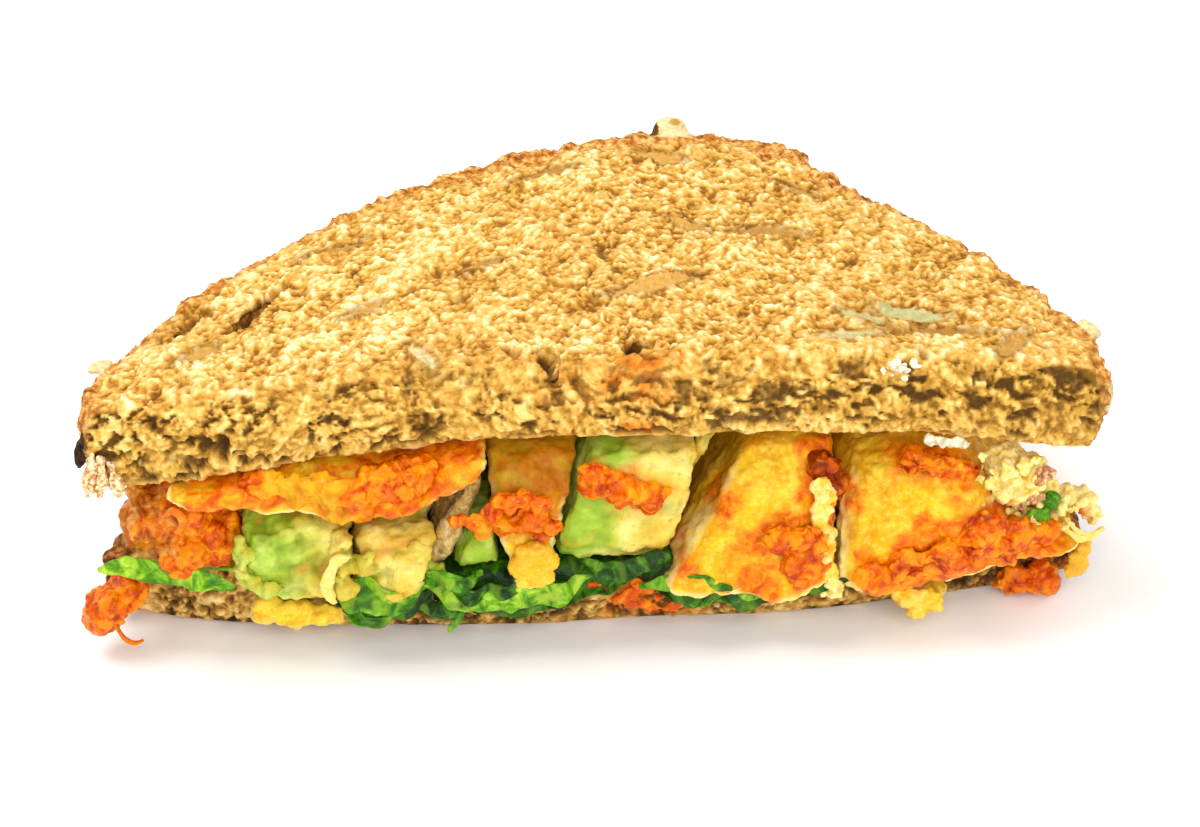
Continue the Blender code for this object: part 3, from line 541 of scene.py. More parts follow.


# tones darken towards the hollows, partly painted shade; the hole colour is painted shade
toastTop = toastMaterial("toastedMultigrainCrumb", {
    "tones": ("#7a4e12", "#b47c2a", "#dda548", "#f2c878", "#ffecb8"),
    "deeper": ("#8c5e18", "#be8832", "#dea544", "#f2ca78"),
    "cut": ("#7c5716", "#b98632", "#e1af4e", "#f7d680"),
    "crust": ("#864810", "#c8812e", "#eec074"), "hole": "#4a3010"})
toastBottom = toastMaterial("toastedCrumbUnderside", {
    "tones": ("#5a3410", "#956224", "#c98e42", "#e2b05c", "#f6d690"),
    "deeper": ("#6a4014", "#9c6628", "#c58a40", "#dfae62"),
    "cut": ("#563614", "#a4742e", "#daa952", "#f8d68c"),
    "crust": ("#3e1e08", "#7c4418", "#bd7c34"), "hole": "#33200a"})

for node, name, voxel, kept, material in (
        ("top_slice", "topSlice", bread["voxel"], 0.7, toastTop),
        ("bottom_slice", "bottomSlice", bread["bottomVoxel"], 0.67, toastBottom)):
    piece = denseCopy(node, name, voxel, 2)
    thinUnderside(piece, kept)
    crumbRelief(piece.data, node == "bottom_slice")
    dress(piece, material, "toasted_bread", node)
    print(name, len(piece.data.polygons))


# Tomato relish: cooked tomato and soft onion, wet and orange-red.

relish = {
    "voxel": 0.33,
    "swell": 0.45,    # the beads of the solid run together
    "lump": 2,
    "lumpHeight": 0.8,
    "sink": {"relish_centre": 0.6, "relish_on_avocado": 0.25, "relish_right": 0.2, "relish_mid": 0.3,
             "relish_top_right": 0.7},
    "egg": {"relish_flap": (-53.5, -41.5)},  # between these x the smear is mostly egg
}


# wet relish: oily orange skin over soft red lumps, with painted light on the raised lumps and painted shade
# in the recesses and voids
wet = layered("wetTomatoRelish", {"broad": (2.6, 4, 0.6, 0.8), "fine": (0.7, 3, 0.6, 0)}, {
    "Base Color": [
        ("broad", (0.34, 0.45, 0.57, 0.7), ("#a42a00", "#d04c00", "#e27400", "#f4a408")),
        (("tone", (0.4, 0.95), (0, 0.6)), "#f59a04"),
        # painted light: raised lumps lighter; painted shade: low parts dark red-brown
        (("relief", (0.42, 0.95), (0, 0.35)), "#fca010"),
        (("relief", (0, 0.28), (0.85, 0)), "#7a1c00"),
        (("fine", (0.6, 0.72), (0, 0.45)), "#ffbe48"),
        ("onion", ("broad", (0.38, 0.52, 0.68), ("#7e4404", "#c07a1c", "#ecc07c"))),
        ("rim", ("broad", (0.38, 0.62), ("#ce8204", "#e8ae18")))],
    "Roughness": 0.14, "IOR": 1.42, "Specular IOR Level": 0.22, "Subsurface Weight": 0.15,
    "Subsurface Radius": (1.0, 0.4, 0.05), "Subsurface Scale": mm}, ("fine", 0.6, 0.4))


def relishRelief(mesh, node, seed):
    points = pointsOf(mesh)
    drift = wander(roughNoise, points, 1.8, (seed + 1, seed + 2, seed + 3), 2)
    near, second, owner = cells(points * np.array([0.8, 1, 1]) + 0.9 * drift, relish["lump"], seed)
    lump = dome(near) * (0.3 + 0.7 * owner)
    setMask(mesh, "tone", owner * fade(lump, 0.0, 0.6))
    near, second, owner = cells(points + 0.4 * drift, 1.0, seed + 9)
    bead = dome(near) * owner
    void = pores(points + drift, 3.8, 0.35, 0.8, seed + 15) * (1.0 if node == "relish_left" else 0.5)
    ragged = roughNoise(points, 2.6, seed + 2, 3)
    height = relish["lumpHeight"] * (lump - 0.3) + 0.4 * bead + 0.75 * ragged - 0.9 * void
    height += 0.8 * roughNoise(points, 5.5, seed + 17, 2) - relish["sink"].get(node, 0)
    if node == "relish_mid":  # the lower part of the fold shows clean
        height -= 1.8 * fade(25.5 - points[:, 2], 0, 3)
    push(mesh, points, height)
    sunk = 0.45 if node == "tomato_skin" else 0.0
    # relief also sets the colour: low parts and voids get painted shade; the tomato skin is sunk for its
    # own deeper red
    setMask(mesh, "relief", 0.6 * lump + 0.35 * bead + 0.2 * ragged + 0.12 - 0.7 * void - sunk)
    onion = fade(-69.5 - points[:, 0] + 5 * roughNoise(points, 3.0, seed + 20, 2), -1.5, 3.0)
    setMask(mesh, "onion", 0.7 * onion * (node == "relish_left"))
    low, high = relish["egg"].get(node, (999, 999))
    wave = 4.0 * roughNoise(points, 4.0, seed + 6, 3)
    x = points[:, 0]
    setMask(mesh, "rim", fade(x + wave, low - 1.5, low + 1.5) * fade(high - x + wave, -1.5, 1.5))


def nudge(mesh, node):
    # edges that the photo shows a little to one side of the solid's
    points = pointsOf(mesh)
    x, y, z = points.T
    if node in ("omelette_right", "relish_right"):
        z += 3.0 * fade(12 - y, 0, 8) * fade(15 - z, 0, 6) * np.exp(-((x - 60) / 10) ** 2)
    elif node == "omelette_centre":
        x += 3.0 * fade(z, 14, 32) * fade(26 - x, 0, 9)
    elif node == "leaf_left":
        z -= 2.0
    elif node.startswith("spinach"):
        wave = 1.2 * roughNoise(points * np.array([1, 0, 0]), 4.0, 90, 2)
        low = np.interp(x, *zip(*spinach["hem"])) + wave
        z += np.where(z < low, 0.8 * (low - z), 0) * fade(4 - y, 0, 3)
    setPoints(mesh, points)


relishPoints = []
for seed, node in enumerate(["relish_left", "relish_flap", "relish_mid", "relish_on_avocado",
                             "relish_centre", "relish_right", "relish_top_right", "relish_drop_left",
                             "relish_drop_right", "tomato_skin"]):
    piece = denseCopy(node, node.replace("_", ""), relish["voxel"], 5, relish["swell"])
    nudge(piece.data, node)
    relishRelief(piece.data, node, 300 + seed * 13)
    dress(piece, wet, "relish", node)
    relishPoints += list(pointsOf(piece.data)[::9])
print("relish")

sauceTree = KDTree(len(relishPoints))
for k, spot in enumerate(relishPoints):
    sauceTree.insert(spot, k)
sauceTree.balance()


def sauceNear(points, reach, seed):
    # how much relish spread onto points close to it
    away = np.full(len(points), 99.0)
    for k in np.nonzero(points[:, 1] < 7)[0]:
        away[k] = sauceTree.find(points[k])[2]
    return fade(reach * (0.9 + 0.9 * roughNoise(points, 3.6, seed, 2)) - away, -0.4, 1.8)


# Omelette: beaten egg cooked in a thin sheet, folded. Smooth yellow skin, paler curd at its torn edges.

omelette = {
    "voxel": 0.48,
    "curdSize": 2.8,
    "curdHeight": 0.75,
    "fold": 8,                # spacing of the soft folds
    "foldHeight": 0.75,
    "smears": {  # places where relish coloured the egg: x, z, radius
        "omelette_left": [(-33, 31, 8), (-58, 32, 6), (-26, 34, 5), (-38, 28, 4)],
        "omelette_mid": [(-11, 29, 4.5), (-9, 34, 4), (-13, 25, 4)],
        "omelette_centre": [(29, 19, 5), (17, 25, 3), (22, 12, 3), (12, 16, 2.5), (31, 26, 3),
                            (19, 18, 1.5)],
        "omelette_right": [(50, 15, 7), (60, 19, 7), (49, 30, 4.5), (41, 12, 4), (66, 16, 4), (53, 25, 2)],
        "curds_right": [(60, 21, 3)], "curds_tip": [(72, 16, 3)],
        "scrap_right": [(45, 6, 2)],
    },
    # the middle fold gets painted shade above this height
    "paintedShadeAbove": 27,
}


# set egg: moist and slightly see-through, with a satin skin, pale curds and wet red smears, painted light
# on its raised curds and painted shade where the shade mask is set
egg = layered("foldedOmelette", {
    "broad": (5, 4, 0.6, 0.8), "fine": (0.9, 4, 0.65, 0), "patchy": (1.9, 4, 0.6, 0.6)}, {
    "Base Color": [
        ("broad", (0.3, 0.48, 0.66), ("#cf8c02", "#e4a808", "#f3c41c")),
        # painted light: raised curd is lighter yellow
        (("relief", (0.3, 0.85), (0, 0.7)), "#f8d844"),
        ("rim", ("fine", (0.35, 0.6), ("#f0cc50", "#fff4b4"))),
        (("fine", (0.36, 0.5), (0.35, 0)), "#ffea74"),
        (("fine", (0.58, 0.72), (0, 0.65)), "#cc800a"),
        ("smear", ("patchy", (0.32, 0.46, 0.6, 0.72), ("#bc3800", "#e06000", "#f08e06", "#f6b020"))),
        # painted shade: olive-brown where the shade mask is set
        ("shade", ("broad", (0, 1), ("#6a4604", "#b8860e")))],
    "Roughness": [("smear", (0, 1), (0.5, 0.2))],
    "IOR": 1.4, "Specular IOR Level": 0.2, "Subsurface Weight": 0.15,
    "Subsurface Radius": (1.0, 0.6, 0.1), "Subsurface Scale": mm}, ("fine", 0.7, 0.4))


def eggRelief(mesh, node, seed):
    points, normals = pointsOf(mesh), normalsOf(mesh)
    drift = wander(smoothNoise, points, 3.5, (1, 2, 3))
    near, second, owner = cells(points + 0.9 * drift, omelette["curdSize"], seed)
    curd = dome(near, 1.3) * (0.5 + 0.5 * owner)
    near, second, owner = cells(points + 0.5 * drift, 1.3, seed + 20)
    grains = dome(near, 1.3) * owner
    torn = fade(smoothNoise(points, 7.0, seed + 7), -0.3, 0.5)
    crumbled = node.startswith("curds")
    small = crumbled or node.startswith("scrap")
    if crumbled:
        warp = 0.6 * drift + 0.5 * roughNoise(points, 0.9, seed + 32, 2)[:, None]
        near, second, owner = cells(points + warp, 1.4, seed + 31)
        curd = dome(near, 1.5) * (0.6 + 0.4 * owner)
        grains = roughNoise(points, 0.9, seed + 30, 2)
    x, y, z = points.T
    rim = fade(np.abs(normals[:, 0]), 0.5, 0.85) + fade(-normals[:, 2], 0.1, 0.6) * fade(4 - y, 0, 3)
    rim = np.clip(rim, 0, 1) * (0.5 if small else 1.0) * fade(4.5 - y, 0, 4)
    torn = 1 + 0 * x if small else np.maximum(torn, rim)
    height = omelette["curdHeight"] * (curd - 0.4) * (0.15 + 0.85 * torn) + 0.35 * grains * torn
    folds = omelette["foldHeight"] * roughNoise(points, omelette["fold"], seed + 9, 2)
    height += folds * (0.4 if small else 1.0)
    height += 0.26 * roughNoise(points, 1.5, seed + 5)
    smear = 0 * x
    spread = 1 + 0.9 * roughNoise(points, 3.4, seed + 3, 3)
    for sx, sz, radius in omelette["smears"].get(node, []):
        smear = np.maximum(smear, fade(radius * spread - np.hypot(x - sx, z - sz), -1.6, 1.6))
    smear *= fade(8 - y, 0, 5)
    if node != "scrap_left":
        smear = np.maximum(smear, sauceNear(points, 1.4 if small else 2.6, seed + 13))
    if node == "omelette_mid":
        smear *= 0.2 + 0.8 * fade(z, 21, 25.5)
    height += smear * (0.15 + 0.3 * smoothNoise(points, 1.8, seed + 4))
    push(mesh, points, height - 0.2)
    setMask(mesh, "relief", curd * (0.25 + 0.75 * torn) + 0.3 * grains)
    setMask(mesh, "rim", fade(curd + 0.2 * grains, 0.1, 0.5) if crumbled else rim * 0.9)
    setMask(mesh, "smear", smear * 0.92)
    paintedShade = 0 * x
    if node == "omelette_mid":  # sits back in the shadow under the top slice: painted shade
        paintedShade = fade(z + 1.5 * smoothNoise(points, 4.0, seed + 6) - omelette["paintedShadeAbove"], -2, 3)
    elif node == "omelette_centre":
        # painted shade on the left-facing side, for the dark gap beside the avocado
        paintedShade = fade(-normals[:, 0], 0.62, 0.9)
    elif node == "omelette_right":  # painted shade in the hollow under the top slice
        paintedShade = fade(z + smoothNoise(points, 3.0, seed + 8) - 33.5, -1.5, 2) * fade(58 - x, 0, 8)
    setMask(mesh, "shade", paintedShade * 0.6)


for seed, node in enumerate(["omelette_left", "omelette_mid", "omelette_centre", "omelette_right",
                             "curds_right", "curds_tip", "scrap_left", "scrap_right"]):
    piece = denseCopy(node, node.replace("_", ""), omelette["voxel"], 4)
    nudge(piece.data, node)
    eggRelief(piece.data, node, 100 + seed * 11)
    dress(piece, egg, "omelette", node)
print("omelette")


# Avocado: ripe flesh cut in strips, green by the skin and butter yellow by the stone.

avocado = {
    "voxel": 0.5,
    "dent": 4.5,
    "dentDepth": 0.8,
    "green": {  # where the green side is: x at height 14, lean, width of the fade
        "avocado_left": (-57, 0, 15), "avocado_pale": (-62, 0, 8), "avocado_low": (-17, 0, 12),
        "avocado_centre": (-10, 0.28, 11), "avocado_back": (-20, 0.3, 4)},
    "chips": [  # name, lumps of centre and size, how green
        ("avocadoChipMid", [((-41.5, -2.2, 21.5), (3.4, 4, 4)), ((-41, -3.2, 18), (4.5, 3.5, 4)),
                            ((-41.6, -3.8, 14.5), (4, 3, 3.5)), ((-38.5, -4.2, 20), (3.6, 2.4, 2.6))], 0.2),
        ("avocadoChipLeft", [((-56.8, -1.6, 20), (3, 3, 6)), ((-56.2, -2.6, 15.8), (4, 3, 3.5)),
                             ((-52.5, -3.7, 14.4), (5, 2.4, 2.4))], 0.6),
        ("avocadoChipRight", [((-31.5, -4, 16), (3.6, 2.6, 4)), ((-30, -3.2, 19.6), (3, 2.8, 3.4)),
                              ((-34, -4.8, 12.8), (4, 2, 2.4))], 0.05),
        ("avocadoChipLow", [((-27.5, -2.6, 15.6), (3, 2.8, 2.4))], 0.8)],
}


# buttery flesh: soft sheen, light goes a little way in, painted shade in its low parts
flesh = layered("ripeAvocadoFlesh", {"broad": (5, 4, 0.55, 0), "fine": (1, 4, 0.6, 0)}, {
    "Base Color": [
        ("broad", (0.3, 0.5, 0.7), ("#d4ac30", "#e5ca54", "#f2e286")),
        ("green", ("broad", (0.3, 0.48, 0.68), ("#7ea220", "#a2c438", "#cfe070"))),
        # painted shade: dark olive where the relief is low
        (("relief", (0.1, 0.45), (0.75, 0)), "#667a12"),
        (("fine", (0.54, 0.72), (0, 0.6)), "#b08c24"),
        ("smear", ("fine", (0.4, 0.6), ("#d2600a", "#f2a02c")))],
    "Roughness": 0.42, "IOR": 1.45, "Specular IOR Level": 0.25, "Subsurface Weight": 0.2,
    "Subsurface Radius": (0.8, 1.0, 0.2), "Subsurface Scale": mm}, ("fine", 0.5, 0.4))


def avocadoRelief(mesh, node, seed):
    points = pointsOf(mesh)
    rough = 1.0 if node in ("avocado_left", "avocado_pale") else 0.55
    warp = 1.2 * smoothNoise(points, 4.0, seed + 8)[:, None]
    near, second, owner = cells(points + warp, 3.4, seed + 11)
    chipped = owner * fade(second - near, 0.0, 0.25)
    dents = avocado["dentDepth"] * roughNoise(points, avocado["dent"], seed, 2)
    height = rough * (dents + 0.4 * (chipped - 0.4))
    height += (0.2 + 0.2 * rough) * roughNoise(points, 1.5, seed + 3, 2)
    setMask(mesh, "relief", 0.5 + 0.4 * height)
    if node == "avocado_low":
        height += 0.3 * smoothNoise(points * np.array([1, 1, 0.2]), 1.6, seed + 4)
    push(mesh, points, height - 0.15)
    x, lean, width = avocado["green"][node]
    side = points[:, 0] - lean * (points[:, 2] - 14) - x + 5 * roughNoise(points, 6.0, seed + 5, 2)
    setMask(mesh, "green", 1 - fade(side, width * 0.2, width))
    stained = fade(roughNoise(points, 4.0, seed + 12, 3), 0.45, 0.8) * fade(5 - points[:, 1], 0, 4)
    setMask(mesh, "smear", np.maximum(0.4 * rough * stained, 0.8 * sauceNear(points, 1.2, seed + 14)))


for seed, node in enumerate(avocado["green"]):
    piece = denseCopy(node, node.replace("_", ""), avocado["voxel"], 4)
    avocadoRelief(piece.data, node, 200 + seed * 7)
    dress(piece, flesh, "avocado", node)
for seed, (name, lumps, green) in enumerate(avocado["chips"]):
    # torn bits between the strips
    piece = blob(name, lumps, avocado["voxel"])
    points = pointsOf(piece.data)
    near, second, owner = cells(points, 2.2, 265 + seed)
    torn = 1.2 * roughNoise(points, 2.2, 270 + seed, 3)
    torn += 0.5 * (owner - 0.5) * fade(second - near, 0, 0.3)
    torn += 0.4 * roughNoise(points, 0.9, 290 + seed, 2)
    push(piece.data, points, torn)
    setMask(piece.data, "relief", 0.5 + 0.4 * torn)
    setMask(piece.data, "green", green + 0.4 * smoothNoise(points, 3.0, 275 + seed))
    setMask(piece.data, "smear", 0.5 * sauceNear(points, 1.2, 280 + seed))
    dress(piece, flesh, "avocado")
print("avocado")


# Mushroom: sliced and fried, grey-brown and crinkled.

mushroomSlice = {"voxel": 0.45, "crinkle": 4.0, "height": 0.8, "gill": 1.1}


# fried mushroom: dull, grey-brown, darker in the gills
fried = layered("friedMushroom", {"gills": (1.8, 4, 0.65, 1.2)}, {
    "Base Color": [
        ("gills", (0.3, 0.5, 0.7), ("#7c6026", "#c4a055", "#f2dca4")),
        (("relief", (0.1, 0.45), (0.8, 0)), "#33260e")],
    "Roughness": 0.5, "IOR": 1.4, "Specular IOR Level": 0.35}, ("gills", 0.6, 0.5))

piece = denseCopy("mushroom", "mushroomSlice", mushroomSlice["voxel"], 3)
points = pointsOf(piece.data)
gills = smoothNoise(points * np.array([1, 1, 0.25]), mushroomSlice["gill"], 410)
crinkled = roughNoise(points, mushroomSlice["crinkle"], 400)
push(piece.data, points, mushroomSlice["height"] * crinkled + 0.25 * gills)
setMask(piece.data, "relief", 0.5 + 0.45 * gills + 0.2 * crinkled)
dress(piece, fried, "mushroom", "mushroom")
print("mushroom")


# Spinach: wilted leaves, dark and wet, lighter along the veins and edges. The leaves under the fillings
# take the darkest copy, painted shade.

spinach = {
    "ruffle": 1.2,
    "ruffleSize": 3.2,
    "veinSpacing": 5,
    # the lower edge of the leaves: x and height
    "hem": [
        (-48, 5.6), (-42, 5.6), (-33, 7.8), (-27, 8.8), (-16, 7.2), (-8, 8.2), (-3.5, 11), (4, 11.2),
        (10, 8.2), (23, 7), (34, 8.6), (44, 8.6)],
    # loose folds of the same leaves in front: path of x, y, z, then width and tone, the copy of the leaf
    # from 0, darkest, to 2, lightest, partly the leaf's own colour and partly painted shade and light
    "folds": [
        ([(-44, -2, 13), (-39, -4.2, 12), (-33, -4.2, 11.4), (-29, -3.2, 12.4)], 4.6, 1),
        ([(-43, -2.4, 9.8), (-38, -3.8, 9), (-32, -3.8, 9.4), (-28, -2.8, 10.6)], 4, 0),
        ([(-42, -3, 8.2), (-38, -4, 7.2), (-34, -3.4, 7.8)], 2.8, 1),
        ([(-40, -3.6, 15.4), (-36, -4.8, 13.8), (-31, -4.4, 13.6)], 3, 2),
        ([(-30, -2.8, 16), (-25, -4.2, 14.6), (-20, -4, 15)], 3, 1),
        ([(-32, -2.6, 10), (-27, -4, 9.2), (-22, -3.8, 10.4)], 3.4, 0),
        ([(-28, -3, 14), (-22, -4.6, 13), (-15, -4.6, 13.2), (-9, -3.6, 13.6)], 3, 0),
        ([(-30, -3, 12.8), (-22, -4.4, 11.2), (-15, -4.8, 10.8), (-9, -4.4, 11.6), (-3.5, -3, 13.4)],
         4.8, 2),
        ([(-5, -2.8, 16), (0, -4, 15.2), (6, -3.8, 15.6), (9, -2.8, 16)], 3.4, 0),
        ([(4.2, -4, 10.8), (8.5, -5, 12.6), (13.2, -5.2, 13.2), (18.5, -4.6, 11.6)], 2.8, 1),
        ([(8, -2.8, 9.6), (13, -4.2, 8.8), (18, -3.8, 9.4)], 2.8, 0),
        ([(11, -3.8, 8.8), (13.5, -4.6, 8.4), (16, -4, 8.8)], 2.2, 1),
        ([(19, -3.4, 9.2), (22, -4.4, 8.8), (26, -3.8, 9.2)], 2, 2),
        ([(24, -2.8, 8.6), (30, -4.2, 9.4), (37, -3.6, 10.8)], 2.2, 0),
        ([(-79.4, 2, 15.2), (-75.8, 0.6, 16.6), (-71.5, -0.8, 16.8), (-67.1, -1.8, 16.2),
          (-62.7, -2.2, 15.2), (-58.2, -2.4, 14)], 4.2, 2),
        ([(-23, -3.6, 9), (-24.4, -4, 6.6), (-25.6, -3.6, 4.2)], 1.6, 1)],
}


def leafVeins(tree, place, sources):
    # 6.28 makes the spacing one full wave
    sources["vein"] = addNode(tree, "TexWave", {
        "Scale": 1 / (spinach["veinSpacing"] * mm * 6.28), "Distortion": 9, "Detail": 3,
        "Vector": place}).outputs["Fac"]


def leafMaterial(name, tones, roughness):
    # wilted leaf: waxy sheen, light shows through it
    return layered(name, {"broad": (3.2, 4, 0.65, 1)}, {
        "Base Color": [
            ("broad", (0.34, 0.48, 0.58, 0.74), tones),
            (("vein", (0.9, 1), (0, 0.3)), tones[3]),
            ("edge", tones[3])],
        "Roughness": roughness, "IOR": 1.45, "Specular IOR Level": 0.2}, ("broad", 0.6, 0.6), leafVeins)


# copies of one leaf, darker to lighter; the darkest is painted shade
leafToneAndShade = [
    leafMaterial("wiltedSpinachShaded", ("#102204", "#1f4208", "#356a0e", "#6f9c1e"), 0.3),
    leafMaterial("wiltedSpinachMid", ("#1c3c06", "#3a700c", "#5f9a16", "#a2c832"), 0.35),
    leafMaterial("wiltedSpinachBright", ("#2c5c08", "#57900f", "#8cbe20", "#c4e048"), 0.35),
    leafMaterial("paleLeafRib", ("#4c7c0c", "#7ea81c", "#a8c838", "#dce070"), 0.4),
]
for seed, node in enumerate(["spinach_left", "spinach_mid", "spinach_right", "leaf_left"]):
    piece = copyOf(node, node.replace("_", ""))
    finer = piece.modifiers.new("finer", "SUBSURF")
    finer.levels = finer.render_levels = 2
    applyModifiers(piece)
    nudge(piece.data, node)
    points = pointsOf(piece.data)
    hang = fade(6 - points[:, 1], 0, 8)
    sway = wander(roughNoise, points, spinach["ruffleSize"], (500 + seed, 505 + seed, 510 + seed), 2)
    amount = spinach["ruffle"] * (0.4 if node == "leaf_left" else 1.0)
    setPoints(piece.data, points + sway * np.array([0.2, 0.6, 0.4]) * amount * hang[:, None])
    rim = fade(points[:, 2].min() + 1.6 + 0.8 * sway[:, 0] - points[:, 2], -0.6, 0.6)
    setMask(piece.data, "edge", rim * 0.15)
    # painted shade: the leaves under the fillings take the darkest copy
    dress(piece, leafToneAndShade[2] if node == "leaf_left" else leafToneAndShade[0], "spinach", node)


def ribbon(name, path, width, seed, thick=0.4, ruffle=1.2, rows=8, steps=12):
    # a thin strip along a smooth path, wavy across, closed round its edge
    line = smoothLine(path, steps)
    grid = []
    for k, p in enumerate(line):
        share = k / (len(line) - 1)
        ahead = (line[min(k + 1, len(line) - 1)] - line[max(k - 1, 0)]).normalized()
        side = ahead.cross(Vector((0, -1, 0.35))).normalized()
        half = width / 2 * math.sin(math.pi * (0.02 + 0.96 * share)) ** 0.7
        grid += [p + side * half * (2 * j / rows - 1) for j in range(rows + 1)]
    spots = np.array([list(p) for p in grid])
    edgewise = np.abs(np.tile(np.linspace(-1, 1, rows + 1), len(line)))
    spots[:, 1] += ruffle * (0.5 + 0.7 * edgewise) * roughNoise(spots * np.array([1, 0, 1]), 2.9, seed, 2)
    spots[:, 2] += 0.7 * ruffle * edgewise * roughNoise(spots * np.array([1, 0, 0]), 3.2, seed + 3, 2)
    across = rows + 1
    faces = [(a, a + 1, a + across + 1, a + across)
             for k in range(len(line) - 1) for a in range(k * across, k * across + rows)]
    mesh = bpy.data.meshes.new(name)
    mesh.from_pydata([Vector(p) for p in (spots + np.array(cutOrigin)) * mm], [], faces)
    piece = addObject(name, mesh)
    body = piece.modifiers.new("thickness", "SOLIDIFY")
    body.thickness = thick * mm
    body.offset = 0
    finer = piece.modifiers.new("finer", "SUBSURF")
    finer.levels = finer.render_levels = 1
    applyModifiers(piece)
    return piece


for seed, (path, width, tone) in enumerate(spinach["folds"]):
    piece = ribbon("leafFold%d" % seed, path, width, 520 + seed * 3, 0.4, 0.5 if path[0][0] < -70 else 1.2)
    points = pointsOf(piece.data)
    setMask(piece.data, "edge", 0.5 * fade(smoothNoise(points, 2.0, 530 + seed), 0.2, 0.7))
    dress(piece, leafToneAndShade[tone], "spinach")
print("spinach")


# Small things that came loose: egg shreds, curd crumbs, relish strings and toast crumbs.

loose = {
    # path of x, y, z, then width and thickness
    "shreds": [
        ([(-43.2, -5.2, 12.2), (-43.9, -5.6, 15), (-43.6, -5.8, 18), (-42.2, -5.4, 20.6),
          (-40.2, -4.6, 20.9)], 2.1, 1),
        ([(71, 0.6, 18), (74, -0.4, 15.4), (76.9, 0.4, 14.4)], 0.8, 0.5),
        ([(70.3, 0.4, 16.6), (73.6, -0.6, 14.6), (77.4, 0.6, 15.6)], 1.2, 0.7),
        ([(52, -3, 9.4), (59, -2.2, 11.8), (66, 0.6, 13.2)], 1.4, 0.9)],
    "fibres": [
        ([(-78.2, 0.4, 39), (-78.6, -0.6, 35.4), (-79.4, -0.4, 31.8)], 2.2, 1.2),
        ([(-76.8, 0.2, 38), (-77, -0.8, 34.8), (-77.4, -0.4, 31.2)], 1.8, 1.2),
        ([(-75.4, 0, 37), (-75, -0.8, 34), (-74.4, -0.5, 31.4)], 2, 1.3)],
    "strings": [
        ([(-77.6, 0.4, 5.4), (-76.4, -0.8, 3.4), (-74.8, -1.2, 2.4), (-73.2, -1.2, 3)], 0.8, 0.6),
        ([(-68.3, -1.2, 27.5), (-66.8, -2.2, 29.4), (-65.5, -2.6, 28.7), (-65.3, -2.6, 26.9),
          (-66.5, -2.4, 25.3)], 1.4, 1)],
    # the torn edge of the middle fold of egg
    "hem": [
        ((32, -2, 28.6), (3, 2.4, 3.2)), ((32.9, -2.4, 26.7), (3.6, 2.2, 3.2)),
        ((32.3, -2.4, 24.5), (3.4, 2.2, 3.4)), ((32, -2.8, 22.4), (3, 2, 3.4)),
        ((32.9, -3.2, 20.2), (3.6, 2, 3)), ((33.5, -3.4, 17.7), (2.8, 1.8, 3.4)),
        ((33.1, -3.6, 15.4), (3, 1.8, 3.2)), ((34.1, -3.8, 12.9), (2.4, 1.8, 3.4)),
        ((34.5, -3.8, 10.5), (3, 2, 2.6))],
    # the rounded curd at the tip of the narrow fold, and the relish that curls over it
    "tip": [
        ((-12.3, -4, 19.4), (5.6, 2.6, 4.4)), ((-12.9, -4.3, 17), (7, 2.8, 5)),
        ((-11.6, -4.2, 14.9), (5, 2.6, 3.6)), ((-10.4, -4.2, 18), (4.4, 2.4, 4))],
    "curl": [
        ((-23.8, -3.2, 26), (3.2, 2.2, 2.6)), ((-21.1, -3.6, 25.6), (3, 2.2, 3.2)),
        ((-19.6, -3.8, 24.2), (2.6, 2.2, 3.6)), ((-18.7, -3.9, 27.6), (3.6, 2.6, 3.6)),
        ((-16.4, -3.9, 29.4), (4, 2.6, 3.2)), ((-13.6, -3.8, 30.2), (3.6, 2.4, 3)),
        ((-11, -3.6, 28.8), (3.4, 2.2, 3))],
    # egg and juice that ran under the edges of the lower slice
    "endSmear": [
        ((75, 3.2, 9.8), (2.8, 3.4, 3.4)), ((74.6, 3, 7.4), (3, 3.4, 3.6)),
        ((73.6, 2.6, 5.6), (3.2, 2.6, 2.4))],
    # a fried lump of egg on the edge of the lower slice
    "lump": [
        ((46.3, -3.4, 6.8), (4.4, 2.4, 3.6)), ((49.6, -3.6, 5.8), (4.8, 2.6, 5.2)),
        ((48, -3.9, 3.6), (3.4, 2.2, 2.8))],
    "whiteCurd": [
        ((50.4, -0.7, 35.2), (4, 1.8, 2)), ((52.4, -0.8, 35), (3.6, 1.8, 2.2)),
        ((49, -0.6, 35.4), (3, 1.6, 1.6)), ((53.8, -0.6, 34.4), (2.6, 1.6, 1.6))],
    # centre x, y, z, spread x, y, z, number, smallest and largest size
    "curds": [
        (62.5, 0, 25, 6, 1.4, 8, 44, 0.9, 1.9), (70.5, 1.4, 18.8, 4, 1.2, 3, 24, 0.9, 1.8),
        (34.8, -4.4, 9.4, 1.4, 0.5, 0.8, 5, 1, 1.7)],
    "white": [(43.8, 4.8, 45.9, 2.8, 2.2, 0.3, 40, 0.5, 1), (-36.5, 14, 46.3, 8, 5, 0.2, 4, 0.5, 0.9)],
    "drips": [
        (3, -2, 8.6, 5, 0.4, 2.6, 14, 1.6, 2.8), (7.4, -2.3, 6, 2.6, 0.3, 2.4, 7, 1.3, 2.4),
        (67, 0, 12.4, 6, 0.6, 1.4, 5, 1.2, 2)],
    "pink": [(66.8, 0.2, 26.6, 1.8, 0.6, 1.6, 6, 0.8, 1.5), (65.2, -0.8, 22.8, 2, 0.6, 1.4, 6, 0.8, 1.5)],
    "green": [
        ((65.9, -1.2, 20.6), (3, 1.4, 2.6)), ((68.2, -1, 22.5), (2.4, 1.4, 3.6)),
        ((67.3, -1.2, 19.7), (2.6, 1.4, 2))],
}


